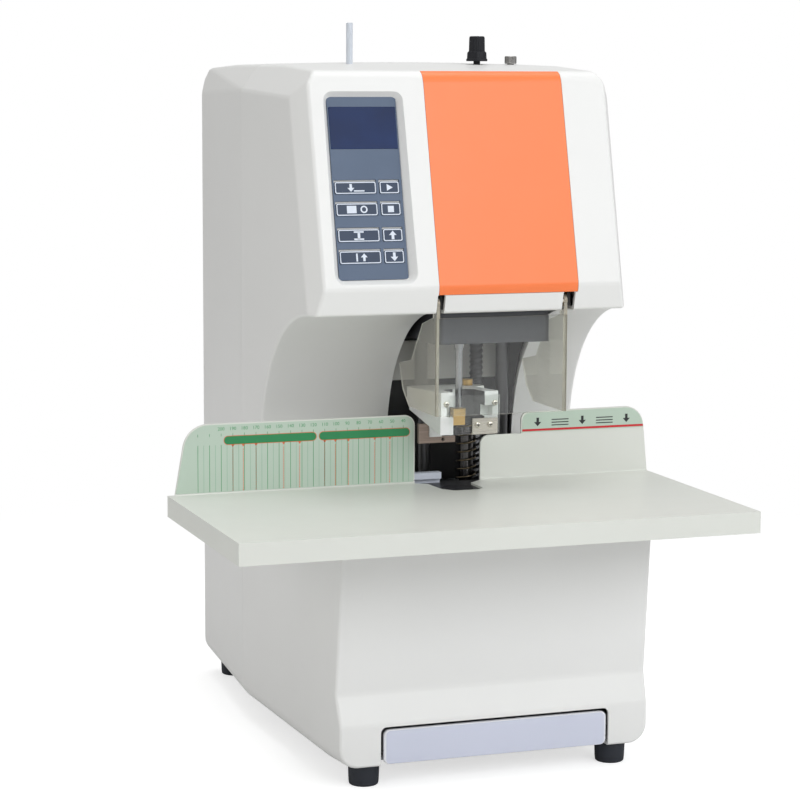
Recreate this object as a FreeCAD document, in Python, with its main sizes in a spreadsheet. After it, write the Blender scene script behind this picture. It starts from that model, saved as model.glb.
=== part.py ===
import FreeCAD, Part
import math
import os
import types
import Sketcher

# Document riveting machine: a desk machine that drills a stack of papers and closes a
# nylon tube rivet in the hole. +Z is up, the operator stands at -Y, and the origin lies
# on the desk under the middle of the machine's outline.

V = FreeCAD.Vector
doc = FreeCAD.newDocument("riveting_machine")

# Driving dimensions, all in millimetres
SIZES = {
    # datum: middle plane of the housing and drill, front face of the paper fence
    "centre_x": 28.5, "fence_y": -47.0, "drill_y": -73.0,
    # housing, side view
    "wall": 3.0, "base_bottom": 17.5, "base_top": 225.6, "toe_y": -167.8, "toe_top": 52.0,
    "waist_y": -159.0, "waist_z": 77.0, "apron_y": -175.5, "column_y": 26.0, "arch_radius": 128.0,
    "head_bottom": 378.0, "chin_low_y": -106.0, "chin_y": -111.8, "chin_z": 400.0,
    "brow_y": -68.7, "brow_z": 577.5, "brow_radius": 12.0, "crown_z": 583.5, "crown_radius": 2700.0,
    "seam_y": 77.0, "seam_gap": 0.4, "rear_y": 260.0, "rear_top": 578.0,
    # housing, plan view: half widths
    "half_front": 138.2, "half_seam": 147.0, "half_rear": 133.5, "flange_half": 100.0, "chassis_half": 117.0,
    "head_half": 131.0, "bottom_radius": 18.0,
    # openings in the housing
    "throat_left": -29.5, "throat_right": 88.5, "throat_front": -98.0,
    "slot_low": 372.0, "slot_top": 394.0, "drawer_half": 100.5, "drawer_top": 50.0,
    # coloured face plate
    "plate_left": -31.5, "plate_right": 92.0, "plate_low": 394.0, "plate_rear": -60.0, "plate_thick": 1.6,
    # control panel, measured from the chin crease up the leaning face
    "pocket_left": -119.9, "pocket_right": -50.5, "pocket_low": 5.0, "pocket_high": 165.0,
    "pocket_depth": 9.0, "pocket_bevel": 4.6, "panel_thick": 1.5, "key_travel": 0.5,
    # work table and fences
    "table_half": 217.0, "table_front": -262.0, "table_top": 227.6, "table_low": 210.0,
    "sheet": 2.0, "label_thick": 0.3,
    # feet and chassis
    "foot_x": 109.5, "foot_front_y": -150.5, "foot_rear_y": 240.0, "foot_radius": 13.0,
    "chassis_low": 20.7, "chassis_high": 23.7,
    # mechanism
    "column_rod_y": 15.0, "rod_radius": 5.75, "rod_left": 0.5, "rod_right": 74.0,
    "screw_x": 49.5, "screw_radius": 6.0, "carriage_low": 350.0, "carriage_high": 380.0,
    "post_x": 27.0, "post_y": -22.0, "post_radius": 6.0, "running_gap": 0.05,
    "arm_top": 214.0, "bracket_low": 520.0,
    "foot_low": 275.0, "foot_high": 311.0, "spring_low": 215.0, "spring_high": 273.9,
    "spring_radius": 8.2, "wire_radius": 0.75, "spring_turns": 8,
    # clear guard
    "guard_left": -32.0, "guard_right": 84.8, "guard_y": -104.0, "guard_low": 292.5,
    "guard_high": 374.0, "guard_thick": 3.0, "pivot_y": -101.0, "pivot_z": 386.0, "pin_radius": 2.0,
    # controls on the head
    "top_y": 43.0, "tube_x": -59.0, "tube_radius": 2.85, "tube_top": 617.0,
    "knob_x": 59.0, "cap_x": 91.0,
}

sheet = doc.addObject("Spreadsheet::Sheet", "Dims")
for row, (alias, value) in enumerate(SIZES.items(), start=1):
    sheet.set("A%d" % row, alias)
    sheet.set("B%d" % row, str(value))
    sheet.setAlias("B%d" % row, alias)
doc.recompute()


class Size:
    """A length that knows its number and the spreadsheet expression behind it."""

    def __init__(self, number, text):
        self.number = number
        self.text = text

    def join(self, other, sign, number):
        return Size(number, "(%s %s %s)" % (self.text, sign, other.text))

    def __add__(self, other):
        other = size(other)
        return self.join(other, "+", self.number + other.number)

    def __radd__(self, other):
        return size(other) + self

    def __sub__(self, other):
        other = size(other)
        return self.join(other, "-", self.number - other.number)

    def __rsub__(self, other):
        return size(other) - self

    def __mul__(self, other):
        other = size(other)
        return self.join(other, "*", self.number * other.number)

    def __rmul__(self, other):
        return size(other) * self

    def __neg__(self):
        return size(0) - self


def size(value):
    return value if isinstance(value, Size) else Size(float(value), "%.6f" % value)


d = types.SimpleNamespace(**{alias: Size(value, "Dims." + alias) for alias, value in SIZES.items()})
nodes = []

TURNS = {"x": FreeCAD.Rotation(V(0, 1, 0), 90), "y": FreeCAD.Rotation(V(1, 0, 0), -90), "z": FreeCAD.Rotation()}


def across(offset):
    """X of a point that lies the given way from the housing's middle plane."""
    return d.centre_x + offset


def node(label, obj):
    obj.Label = label
    nodes.append(obj)
    return obj


def place(obj, x, y, z):
    for axis, where in zip("xyz", (x, y, z)):
        obj.setExpression("Placement.Base." + axis, size(where).text)


def box(name, xs, ys, zs):
    obj = doc.addObject("Part::Box", name)
    for prop, (low, high) in (("Length", xs), ("Width", ys), ("Height", zs)):
        obj.setExpression(prop, (size(high) - low).text)
    place(obj, xs[0], ys[0], zs[0])
    return obj


def cylinder(name, where, radius, length, axis="z"):
    obj = doc.addObject("Part::Cylinder", name)
    obj.Placement = FreeCAD.Placement(V(0, 0, 0), TURNS[axis])
    obj.setExpression("Radius", size(radius).text)
    obj.setExpression("Height", size(length).text)
    place(obj, *where)
    return obj


def cone(name, where, low_radius, high_radius, length):
    obj = doc.addObject("Part::Cone", name)
    obj.setExpression("Radius1", size(low_radius).text)
    obj.setExpression("Radius2", size(high_radius).text)
    obj.setExpression("Height", size(length).text)
    place(obj, *where)
    return obj


def fuse(name, pieces):
    obj = doc.addObject("Part::MultiFuse", name)
    obj.Shapes = pieces
    return obj


def common(name, pieces):
    obj = doc.addObject("Part::MultiCommon", name)
    obj.Shapes = pieces
    return obj


def cut(name, base, tools):
    obj = doc.addObject("Part::Cut", name)
    obj.Base = base
    obj.Tool = tools[0] if len(tools) == 1 else fuse(name + "_tools", tools)
    return obj


def group(name, pieces):
    """Separate solids of one kind kept together as one sub-part."""
    obj = doc.addObject("Part::Compound", name)
    obj.Links = pieces
    return obj


PLANES = {"XY": ("XY_Plane", (0, 1)), "XZ": ("XZ_Plane", (0, 2)), "YZ": ("YZ_Plane", (1, 2))}


def pad(name, plane, points, start, length, rounds=()):
    """A body padded from a closed outline, with rounded corners.

    The pad runs from start along +Z (XY), +X (YZ) or -Y (XZ). Each entry of rounds is
    the index of a corner and its radius.
    """
    role, (first, second) = PLANES[plane]
    body = doc.addObject("PartDesign::Body", name)
    sketch = body.newObject("Sketcher::SketchObject", name + "_outline")
    datum = next(item for item in body.Origin.OriginFeatures if item.Role == role)
    sketch.AttachmentSupport = (datum, [""])
    sketch.MapMode = "FlatFace"
    offset = -size(start) if plane == "XZ" else size(start)
    sketch.setExpression("AttachmentOffset.Base.z", offset.text)
    corners = [(size(u), size(v)) for u, v in points]
    for index, (u, v) in enumerate(corners):
        ahead_u, ahead_v = corners[(index + 1) % len(corners)]
        line = Part.LineSegment(V(u.number, v.number, 0), V(ahead_u.number, ahead_v.number, 0))
        sketch.addGeometry(line, False)
    for index, (u, v) in enumerate(corners):
        sketch.addConstraint(Sketcher.Constraint("Coincident", index, 2, (index + 1) % len(corners), 1))
        for kind, where in (("DistanceX", u), ("DistanceY", v)):
            number = sketch.addConstraint(Sketcher.Constraint(kind, -1, 1, index, 1, where.number))
            sketch.setExpression("Constraints[%d]" % number, where.text)
    feature = body.newObject("PartDesign::Pad", name + "_pad")
    feature.Profile = sketch
    feature.setExpression("Length", size(length).text)
    body.Tip = feature
    doc.recompute()
    for index, radius in rounds:
        u, v = corners[index]
        feature = round_edge(body, feature, (first, second), (u.number, v.number), radius)
    return body


def round_edge(body, base, axes, corner, radius):
    """Round the one straight edge of the pad that stands on an outline corner."""
    names = []
    for number, edge in enumerate(base.Shape.Edges, start=1):
        ends = [vertex.Point for vertex in edge.Vertexes]
        near = all(abs(end[axes[0]] - corner[0]) + abs(end[axes[1]] - corner[1]) < 0.01 for end in ends)
        if near and len(ends) == 2:
            names.append("Edge%d" % number)
    fillet = body.newObject("PartDesign::Fillet", base.Name + "_round")
    fillet.Base = (base, names)
    fillet.setExpression("Radius", size(radius).text)
    body.Tip = fillet
    doc.recompute()
    return fillet


def slab(name, point, normal):
    """A large block that lies outside the plane through a point with an outward normal."""
    reach = 900.0
    obj = doc.addObject("Part::Box", name)
    obj.Length = obj.Width = reach
    obj.Height = reach / 3
    turn = FreeCAD.Rotation(V(0, 0, 1), normal)
    corner = turn.multVec(V(-reach / 2, -reach / 2, 0)) + point
    obj.Placement = FreeCAD.Placement(corner, turn)
    return obj


# Leaning face of the head: the way up along it, the way into it and its angle
RISE = V(0, SIZES["brow_y"] - SIZES["chin_y"], SIZES["brow_z"] - SIZES["chin_z"])
UP = V(RISE).normalize()
INTO = V(0, UP.z, -UP.y)
LEAN = math.degrees(math.atan2(RISE.y, RISE.z))


def leaning(obj, x, climb, depth):
    """Put an object on the head's leaning face, climb up it from the chin and depth into it."""
    obj.Placement = FreeCAD.Placement(V(0, 0, 0), FreeCAD.Rotation(V(1, 0, 0), -LEAN))
    place(obj, x, d.chin_y + UP.y * size(climb) + INTO.y * size(depth),
          d.chin_z + UP.z * size(climb) + INTO.z * size(depth))
    return obj


def leaning_box(name, xs, climbs, depths):
    obj = doc.addObject("Part::Box", name)
    for prop, (low, high) in (("Length", xs), ("Width", depths), ("Height", climbs)):
        obj.setExpression(prop, (size(high) - low).text)
    return leaning(obj, xs[0], climbs[0], depths[0])


def housing_section(name, half, y, inset):
    """Outline of the housing across X at one depth: upright sides and rounded lower corners."""
    side, low, top = size(half) - inset, d.base_bottom + inset, size(620)
    radius = d.bottom_radius - inset
    left, right = across(-side), across(side)
    sketch = doc.addObject("Sketcher::SketchObject", name)
    sketch.Placement = FreeCAD.Placement(V(0, 0, 0), FreeCAD.Rotation(V(1, 0, 0), 90))
    sketch.setExpression("Placement.Base.y", size(y).text)
    x0, x1, z0, z1, r = left.number, right.number, low.number, top.number, radius.number

    def arc(x, start):
        circle = Part.Circle(V(x, z0 + r, 0), V(0, 0, 1), r)
        return Part.ArcOfCircle(circle, math.radians(start), math.radians(start + 90))

    for shape in (
        Part.LineSegment(V(x0 + r, z0, 0), V(x1 - r, z0, 0)), arc(x1 - r, -90),
        Part.LineSegment(V(x1, z0 + r, 0), V(x1, z1, 0)), Part.LineSegment(V(x1, z1, 0), V(x0, z1, 0)),
        Part.LineSegment(V(x0, z1, 0), V(x0, z0 + r, 0)), arc(x0 + r, 180),
    ):
        sketch.addGeometry(shape, False)
    joins = (("Tangent", 0, 1), ("Tangent", 1, 2), ("Coincident", 2, 3), ("Coincident", 3, 4), ("Tangent", 4, 5),
             ("Tangent", 5, 0))
    for kind, first, second in joins:
        sketch.addConstraint(Sketcher.Constraint(kind, first, 2, second, 1))
    sketch.addConstraint(Sketcher.Constraint("Horizontal", 0))
    sketch.addConstraint(Sketcher.Constraint("Vertical", 2))
    sketch.addConstraint(Sketcher.Constraint("Vertical", 4))
    for kind, line, end, where in (("DistanceX", 3, 1, right), ("DistanceY", 3, 1, top), ("DistanceX", 3, 2, left),
                                   ("DistanceY", 3, 2, top), ("DistanceY", 0, 1, low)):
        number = sketch.addConstraint(Sketcher.Constraint(kind, -1, 1, line, end, where.number))
        sketch.setExpression("Constraints[%d]" % number, where.text)
    for corner in (1, 5):
        number = sketch.addConstraint(Sketcher.Constraint("Radius", corner, r))
        sketch.setExpression("Constraints[%d]" % number, radius.text)
    return sketch


def housing(name, inset):
    """The housing's closed outer form, moved inward by an inset."""
    side = pad(name + "_side", "YZ", [
        (d.toe_y + inset, d.base_bottom - 10), (d.toe_y + inset, d.toe_top),
        (d.waist_y + inset, d.waist_z), (d.apron_y + inset, d.base_top - inset),
        (d.column_y + inset, d.base_top - inset), (d.column_y + inset, d.head_bottom + inset),
        (d.chin_low_y + inset, d.head_bottom + inset), (d.chin_y + inset, d.chin_z),
        (d.brow_y + inset, d.brow_z - inset), (d.seam_y, d.crown_z - inset),
        (d.rear_y - inset, d.rear_top - inset), (d.rear_y - inset, d.base_bottom - 10),
    ], across(-160), 320, [(5, d.arch_radius + inset), (8, d.brow_radius - inset), (10, 10 - size(inset))])
    body = doc.addObject("Part::Loft", name + "_sides")
    body.Sections = [
        housing_section(name + "_front_outline", d.half_front, d.apron_y - 5, inset),
        housing_section(name + "_seam_outline", d.half_seam, d.seam_y, inset),
        housing_section(name + "_rear_outline", d.half_rear, d.rear_y, inset),
    ]
    body.Solid = True
    body.Ruled = True
    axis = d.crown_z - inset - d.crown_radius
    crown = cylinder(name + "_crown", (d.centre_x, -300, axis), d.crown_radius, 700, "y")
    rough = common(name + "_rough", [side, body, crown])
    tools = []
    for hand in (-1, 1):
        tools += housing_bevels("%s_%s" % (name, "left" if hand < 0 else "right"), hand, size(inset).number)
    return cut(name + "_form", rough, tools)


def housing_bevels(name, hand, inset):
    """The flat bevels on one side: beside the leaning face, along the top and beside the base."""
    middle = SIZES["centre_x"]

    def bevel(part, first, second, third):
        points = [V(middle + hand * x, y, z) for x, y, z in (first, second, third)]
        normal = (points[1] - points[0]).cross(points[2] - points[0]).normalize()
        if normal.x * hand < 0:
            normal = -normal
        return slab(name + part, points[0] - normal * inset, normal)

    brow = (SIZES["head_half"], SIZES["brow_y"], SIZES["brow_z"])
    chin = (SIZES["head_half"], SIZES["chin_y"], SIZES["chin_z"])
    cheek = bevel("_cheek", brow, chin, (SIZES["head_half"] + 11, SIZES["brow_y"] + 22, SIZES["brow_z"]))
    head = box(name + "_head", (-400, 400), (-400, 400), (300, 700))
    return [
        common(name + "_cheek_of_head", [cheek, head]),
        bevel("_shoulder", (147.0, 77.0, 559.5), (130.5, 77.0, 581.0), (142.0, -37.0, 556.5)),
        bevel("_shoulder_rear", (147.0, 77.0, 559.5), (130.5, 77.0, 581.0), (129.0, 260.0, 575.5)),
        bevel("_shoulder_end", (147.0, 77.0, 559.5), (133.5, 260.0, 554.0), (129.0, 260.0, 575.5)),
        bevel("_corner", (134.5, -175.5, 0), (138.8, -142.0, 0), (134.5, -175.5, 100)),
    ]


def shells():
    """Front shell, rear cover and the coloured plate let into the front shell."""
    outer = housing("outer", 0)
    inner = housing("inner", d.wall)
    bed = housing("bed", d.plate_thick)
    flange_opening = box("flange_opening", (across(-d.flange_half), across(d.flange_half)), (-150, 235), (10, 22))
    hollow = cut("hollow", outer, [inner, flange_opening])

    front_block = box("front_block", (-200, 250), (-200, d.seam_y), (0, 620))
    front = common("front_half", [hollow, front_block])
    pocket_block = leaning_box(
        "pocket_block", (across(d.pocket_left - 2), across(d.pocket_right + 2)),
        (d.pocket_low - 2, d.pocket_high + 2), (1.2, d.pocket_depth + 2.5))
    front = fuse("front_with_pocket", [front, pocket_block])
    plate_box = box("plate_box", (across(d.plate_left), across(d.plate_right)),
                    (-150, d.plate_rear), (d.plate_low, 600))
    recess_box = box("recess_box", (across(d.plate_left - 0.3), across(d.plate_right + 0.3)),
                     (-150, d.plate_rear + 0.3), (d.plate_low - 0.3, 600))
    openings = [
        cut("recess", recess_box, [bed]), pocket_frustum(),
        box("throat", (across(d.throat_left), across(d.throat_right)),
            (d.throat_front, 45), (205, d.head_bottom + 5)),
        box("slot_left", (across(d.guard_left - 0.5), across(d.guard_left + 6.5)), (-125, -85),
            (d.slot_low, d.slot_top)),
        box("slot_right", (across(d.guard_right - 5.3), across(d.guard_right + 5.7)), (-125, -85),
            (d.slot_low, d.slot_top)),
        box("drawer_opening", (across(-d.drawer_half), across(d.drawer_half)), (-180, -149), (5, d.drawer_top)),
        cylinder("tube_hole", (across(d.tube_x), d.top_y, 560), d.tube_radius + 0.08, 40),
        cylinder("knob_hole", (across(d.knob_x), d.top_y, 560), 3.2, 40),
        cylinder("cap_hole", (across(d.cap_x), d.top_y, 560), 3.2, 40),
    ]
    node("front_shell", cut("front_shell", front, openings))

    rear_block = box("rear_block", (-200, 250), (d.seam_y + d.seam_gap, 300), (0, 620))
    vents = [box("vent_%d" % number, (across(-45), across(45)), (d.rear_y - 15, d.rear_y + 10),
                 (430 + 11 * number, 435 + 11 * number)) for number in range(8)]
    socket_hole = box("socket_hole", (across(40), across(68)), (d.rear_y - 15, d.rear_y + 10), (55, 107))
    node("rear_cover", cut("rear_cover", common("rear_half", [hollow, rear_block]), vents + [socket_hole]))

    node("face_plate", cut("face_plate", common("plate_skin", [outer, plate_box]), [bed]))


def pocket_frustum():
    """The tapered recess that holds the control panel."""
    wedge = doc.addObject("Part::Wedge", "pocket_taper")
    width = d.pocket_right - d.pocket_left
    height = d.pocket_high - d.pocket_low
    bevel = d.pocket_bevel
    slope = {"Xmin": 0, "Xmax": width, "Zmin": 0, "Zmax": height, "Ymin": 0, "Ymax": d.pocket_depth,
             "X2min": bevel, "X2max": width - bevel, "Z2min": bevel - 0.4, "Z2max": height - 1.2}
    for prop, where in slope.items():
        wedge.setExpression(prop, size(where).text)
    leaning(wedge, across(d.pocket_left), d.pocket_low, 0)
    mouth = leaning_box("pocket_mouth", (across(d.pocket_left), across(d.pocket_right)),
                        (d.pocket_low, d.pocket_high), (-6, 0))
    return fuse("pocket", [wedge, mouth])


KEY_COLUMNS = {"wide": (-113.9, -77.6), "small": (-75.3, -57.7)}
KEY_ROWS = [(80.5, 92.2), (62.4, 74.4), (40.8, 52.8), (22.7, 34.9)]


def control_panel():
    """Panel plate in its recess, with the display window, eight keys and the board behind."""
    face = d.pocket_depth - d.panel_thick
    plate = leaning_box("panel_blank", (across(d.pocket_left + 4.8), across(d.pocket_right - 4.8)),
                        (d.pocket_low + 4.4, d.pocket_high - 1.4), (face, d.pocket_depth))
    display = (across(-114.2), across(-56.2)), (117.8, 153.0)
    cuts = [leaning_box("display_bed", *display, (face - 1, face + 0.9))]
    for row, climbs in enumerate(KEY_ROWS, start=1):
        for column, (left, right) in KEY_COLUMNS.items():
            name = "key_%s_%d" % (column, row)
            low, high = climbs
            cuts.append(leaning_box(name + "_hole", (across(left), across(right)), climbs, (face - 1, face + 3)))
            node(name, leaning_box(name, (across(left + 0.25), across(right - 0.25)),
                                   (low + 0.25, high - 0.25), (face - 0.6, d.pocket_depth - d.key_travel - 0.1)))
    node("control_panel", cut("control_panel", plate, cuts))
    node("display_window", leaning_box("display_window", *display, (face - 0.3, face + 0.9)))
    behind = d.pocket_depth + 2.5
    board = leaning_box("panel_board_plate", (across(-113), across(-57)), (12, 158), (behind + 3, behind + 4.6))
    posts = [leaning_box("board_post_%d%d" % (i, j), (across(x), across(x + 5)), (climb, climb + 5),
                         (behind, behind + 3))
             for i, x in enumerate((-111, -64)) for j, climb in enumerate((14, 151))]
    node("panel_board", fuse("panel_board", [board] + posts))


def guard():
    """Clear folding guard in front of the drill, and the hinge blocks in the head's slots."""
    left, right, thick = d.guard_left, d.guard_right, d.guard_thick
    front = box("guard_front", (across(left), across(right)), (d.guard_y, d.guard_y + thick),
                (d.guard_low, d.guard_high))
    cheek = [(d.guard_y, d.guard_low), (d.guard_y, 379), (-97, 379), (-97, d.guard_high), (-71, 367), (-43.6, 333),
             (-12.8, 327), (-22.5, 305.5), (-38.2, d.guard_low)]
    pieces = [front]
    for name, low in (("guard_left", left), ("guard_right", right - thick)):
        pieces.append(pad(name, "YZ", cheek, across(low), thick))
        pieces.append(cylinder(name + "_ear", (across(low), d.pivot_y, d.pivot_z), 5, thick, "x"))
        pieces.append(box(name + "_neck", (across(low), across(low + thick)), (-104, -97), (376, d.pivot_z)))
    bore = cylinder("guard_bore", (across(left - 5), d.pivot_y, d.pivot_z), d.pin_radius + d.running_gap, 130, "x")
    node("guard_shield", cut("guard_shield", fuse("guard_sheet", pieces), [bore]))

    blocks = []
    for name, low in (("left", left), ("right", right - thick)):
        first, second = low - 3.6, low + thick + 0.6
        cheeks = [box("hinge_%s_%d" % (name, number), (across(x), across(x + 3)), (-103.2, -92), (381.2, 393.2))
                  for number, x in enumerate((first, second))]
        back = box("hinge_%s_back" % name, (across(first), across(second + 3)), (-94, -92), (381.2, 393.2))
        pin = cylinder("hinge_%s_pin" % name, (across(first), d.pivot_y, d.pivot_z), d.pin_radius,
                       second + 3 - first, "x")
        blocks.append(fuse("hinge_" + name, cheeks + [back, pin]))
    node("guard_hinges", group("guard_hinges", blocks))


def work_table():
    """Folded steel table with its front and side aprons and the two fences behind."""
    half, front, top, thick = d.table_half, d.table_front, d.table_top, d.sheet
    back = d.fence_y + thick
    fence = d.fence_y
    plate = pad("table_plate", "XY", [
        (-half, front), (half, front), (half, back), (across(30.5), back), (across(30.5), fence - 1.5),
        (across(17.1), fence - 13), (across(17.5), fence - 40), (across(12), fence - 46.5),
        (across(-10), fence - 46.5), (across(-18.3), fence - 36), (across(-20.5), fence - 9),
        (across(-29.5), fence - 3), (across(-29.5), back), (-half, back),
    ], top - thick, thick, [(7, 5), (8, 6)])
    apron = (d.table_low, top)
    sides = [box("apron_front", (-half, half), (front, front + thick), apron),
             box("apron_left", (-half, -half + thick), (front, back), apron),
             box("apron_right", (half - thick, half), (front, back), apron)]
    left_fence, left_rounds, right_fence, right_rounds = fence_outlines(0)
    low = top - thick
    fences = [
        pad("fence_left", "XZ", [(left_fence[0][0], low)] + left_fence[1:-1] + [(left_fence[-1][0], low)],
            back, thick, left_rounds),
        pad("fence_right", "XZ", [(right_fence[0][0], low)] + right_fence[1:-1] + [(right_fence[-1][0], low)],
            back, thick, right_rounds),
    ]
    bend = [(fence - 1.2, top - 1), (fence + 1, top - 1), (fence + 1, top + 1.2), (fence, top + 1.2),
            (fence - 1.2, top)]
    left_end, right_start = across(d.throat_left), across(30.5)
    bends = [pad("bend_left", "YZ", bend, -211, left_end + 211),
             pad("bend_right", "YZ", bend, right_start, 216.6 - right_start)]
    node("work_table", fuse("work_table", [plate] + sides + fences + bends))

    left_label, left_rounds = fence_outlines(1.0)[:2]
    low = top + 1.2
    outline = [(left_label[0][0], low)] + left_label[1:-1] + [(left_label[-1][0], low)]
    node("scale_label", pad("scale_label", "XZ", outline, fence, d.label_thick, left_rounds))
    node("limit_label", pad("limit_label", "XZ", [
        (97.7, 266.6), (97.7, 283.6), (209.8, 284.6), (212.2, 266.6),
    ], fence, d.label_thick, [(1, 7), (2, 17)]))


def fence_outlines(inset):
    """Front outlines of the left and right fence and which corners are rounded."""
    left = [(-211.4 + inset, 227.6), (-200.9 + inset, 286.2 - inset),
            (across(d.throat_left) - inset, 286.2 - inset), (across(d.throat_left) - inset, 227.6)]
    right = [(across(30.5), 227.6), (across(30.5), 265.9), (96.7, 265.9), (96.7, 284.6), (211.0, 285.6),
             (216.8, 227.6)]
    return left, [(1, 22 - inset), (2, 9 - inset)], right, [(1, 8), (3, 7), (4, 18)]


def throat():
    """Dark throat plate under the drill, the pad that is drilled into and the paper stop."""
    plate = box("throat_blank", (across(-28.5), across(30)), (-95, -35), (222, 225.4))
    hole = cylinder("pad_hole", (d.centre_x, d.drill_y, 220), 13.2, 10)
    node("throat_plate", cut("throat_plate", plate, [hole]))
    node("cutting_pad", cylinder("cutting_pad", (d.centre_x, d.drill_y, 222), 13, 4.4))
    node("paper_stop", fuse("paper_stop", [
        box("stop_bar", (across(-28.9), across(-4)), (-44, -36), (229.5, 235)),
        box("stop_foot", (across(-28.9), across(-4)), (-40, -36), (225.5, 230)),
    ]))


def chassis():
    """Base plate, rubber feet and the chip drawer with its label."""
    node("base_plate", box("base_plate", (across(-d.chassis_half), across(d.chassis_half)), (-160, 250),
                           (d.chassis_low, d.chassis_high)))
    for side, x in (("left", -d.foot_x), ("right", d.foot_x)):
        for end, y in (("front", d.foot_front_y), ("rear", d.foot_rear_y)):
            name = "foot_%s_%s" % (end, side)
            node(name, cone(name, (across(x), y, 0), d.foot_radius - 1, d.foot_radius, d.base_bottom))

    front = box("drawer_front", (across(-98), across(98)), (-168.4, -165.4), (19, 47.6))
    tray = box("drawer_tray", (across(-94), across(94)), (-165.4, -40), (24.2, 45))
    hollow = box("drawer_hollow", (across(-92), across(92)), (-163.4, -42), (26.2, 60))
    node("chip_drawer", fuse("chip_drawer", [front, cut("drawer_box", tray, [hollow])]))
    node("drawer_label", box("drawer_label", (across(-94.5), across(94.5)), (-168.7, -168.4), (21.5, 45.2)))


def frame():
    """Upright frame, lower arm, guide columns, lift screw and its motor."""
    bottom, top, motor_low = d.arm_top, d.bracket_low, d.bracket_low + 12
    bracket = box("frame_bracket", (across(-10), across(86)), (2, 38), (top, motor_low))
    bore = cylinder("bracket_bore", (across(d.screw_x), d.column_rod_y, top - 1),
                    d.screw_radius + d.running_gap, 20)
    node("frame_plate", fuse("frame_plate", [
        box("frame_upright", (across(-40), across(100)), (37, 49), (d.chassis_high, 545)),
        box("frame_sole", (across(-40), across(100)), (48, 90), (d.chassis_high, 33)),
        box("frame_rib_left", (across(-40), across(-32)), (48, 85), (32, 300)),
        box("frame_rib_right", (across(92), across(100)), (48, 85), (32, 300)),
        cut("frame_bracket_bored", bracket, [bore]),
    ]))
    arm = box("arm_block", (across(-12), across(86)), (-70, 37), (bottom - 18, bottom))
    anvil = cylinder("arm_anvil", (d.centre_x, d.drill_y, bottom - 18), 16, 26)
    node("base_arm", fuse("base_arm", [arm, anvil]))
    rods = [cylinder("guide_rod_%d" % number, (across(x), d.column_rod_y, bottom), d.rod_radius, top - bottom)
            for number, x in enumerate((d.rod_left, d.rod_right))]
    node("guide_columns", group("guide_columns", rods))
    node("lead_screw", cylinder("lead_screw", (across(d.screw_x), d.column_rod_y, bottom + 0.1), d.screw_radius,
                                motor_low - bottom - 0.3))
    node("lift_motor", cylinder("lift_motor", (across(d.screw_x), d.column_rod_y, motor_low), 21.5, 24))


def carriage():
    """Lifting carriage with the drill motor, the belt drive, the spindle and the drill."""
    low, high, gap = d.carriage_low, d.carriage_high, d.running_gap
    block = pad("carriage_block", "XY", [
        (across(-23.5), -85), (across(78.5), -85), (across(78.5), 1), (across(86), 1), (across(86), 27.5),
        (across(-10), 27.5), (across(-10), 1), (across(-23.5), 1),
    ], low, high - low, [(0, 6), (1, 6)])
    tower = cylinder("carriage_tower", (d.centre_x, d.drill_y, high), 14, 76)
    bores = [cylinder("carriage_rod_%d" % number, (across(x), d.column_rod_y, low - 1), d.rod_radius + gap, 50)
             for number, x in enumerate((d.rod_left, d.rod_right))]
    bores += [
        cylinder("carriage_nut", (across(d.screw_x), d.column_rod_y, low - 1), d.screw_radius + gap, 50),
        cylinder("carriage_spindle", (d.centre_x, d.drill_y, low - 1), 8 + gap, 120),
        cylinder("carriage_post", (across(d.post_x), d.post_y, low - 1), 8.5, 50),
        cylinder("carriage_punch", (across(52), -60, low - 1), 6, 50),
    ]
    node("carriage", cut("carriage", fuse("carriage_body", [block, tower]), bores))
    node("rivet_punch", cylinder("rivet_punch", (across(52), -60, low + 0.5), 6, 55))

    motor_y = d.drill_y + 48
    shaft = cylinder("motor_shaft", (d.centre_x, motor_y, 450), 2.5, 22)
    can = cylinder("motor_can", (d.centre_x, motor_y, high), 24, 76)
    shaft_bore = cylinder("motor_bore", (d.centre_x, motor_y, 440), 2.5 + gap, 30)
    node("drill_motor", cut("drill_motor", can, [shaft_bore]))
    pulley = cylinder("pulley_disc", (d.centre_x, motor_y, 462), 12, 10)
    node("motor_pulley", fuse("motor_pulley", [pulley, shaft]))
    node("drive_belt", drive_belt(motor_y))
    node("spindle", fuse("spindle", [
        cylinder("spindle_shaft", (d.centre_x, d.drill_y, low + 0.5), 8, 106),
        cylinder("spindle_neck", (d.centre_x, d.drill_y, 456), 6, 6),
        cylinder("spindle_pulley", (d.centre_x, d.drill_y, 462), 12, 10),
        cone("spindle_nose", (d.centre_x, d.drill_y, low - 6), 3.6, 5, 6.5),
    ]))
    tube = cylinder("drill_tube", (d.centre_x, d.drill_y, 286), 3, 58)
    core = cylinder("drill_core", (d.centre_x, d.drill_y, 285), 2.2, 58)
    node("hollow_drill", cut("hollow_drill", tube, [core]))


def drive_belt(motor_y):
    """Flat belt round the two equal pulleys."""
    def loop(name, radius):
        return fuse(name, [
            cylinder(name + "_front", (d.centre_x, d.drill_y, 463), radius, 8),
            cylinder(name + "_back", (d.centre_x, motor_y, 463), radius, 8),
            box(name + "_run", (across(-size(radius)), across(radius)), (d.drill_y, motor_y), (463, 471)),
        ])
    return cut("drive_belt", loop("belt_outside", 13.5), [loop("belt_inside", 12.3)])


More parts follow.
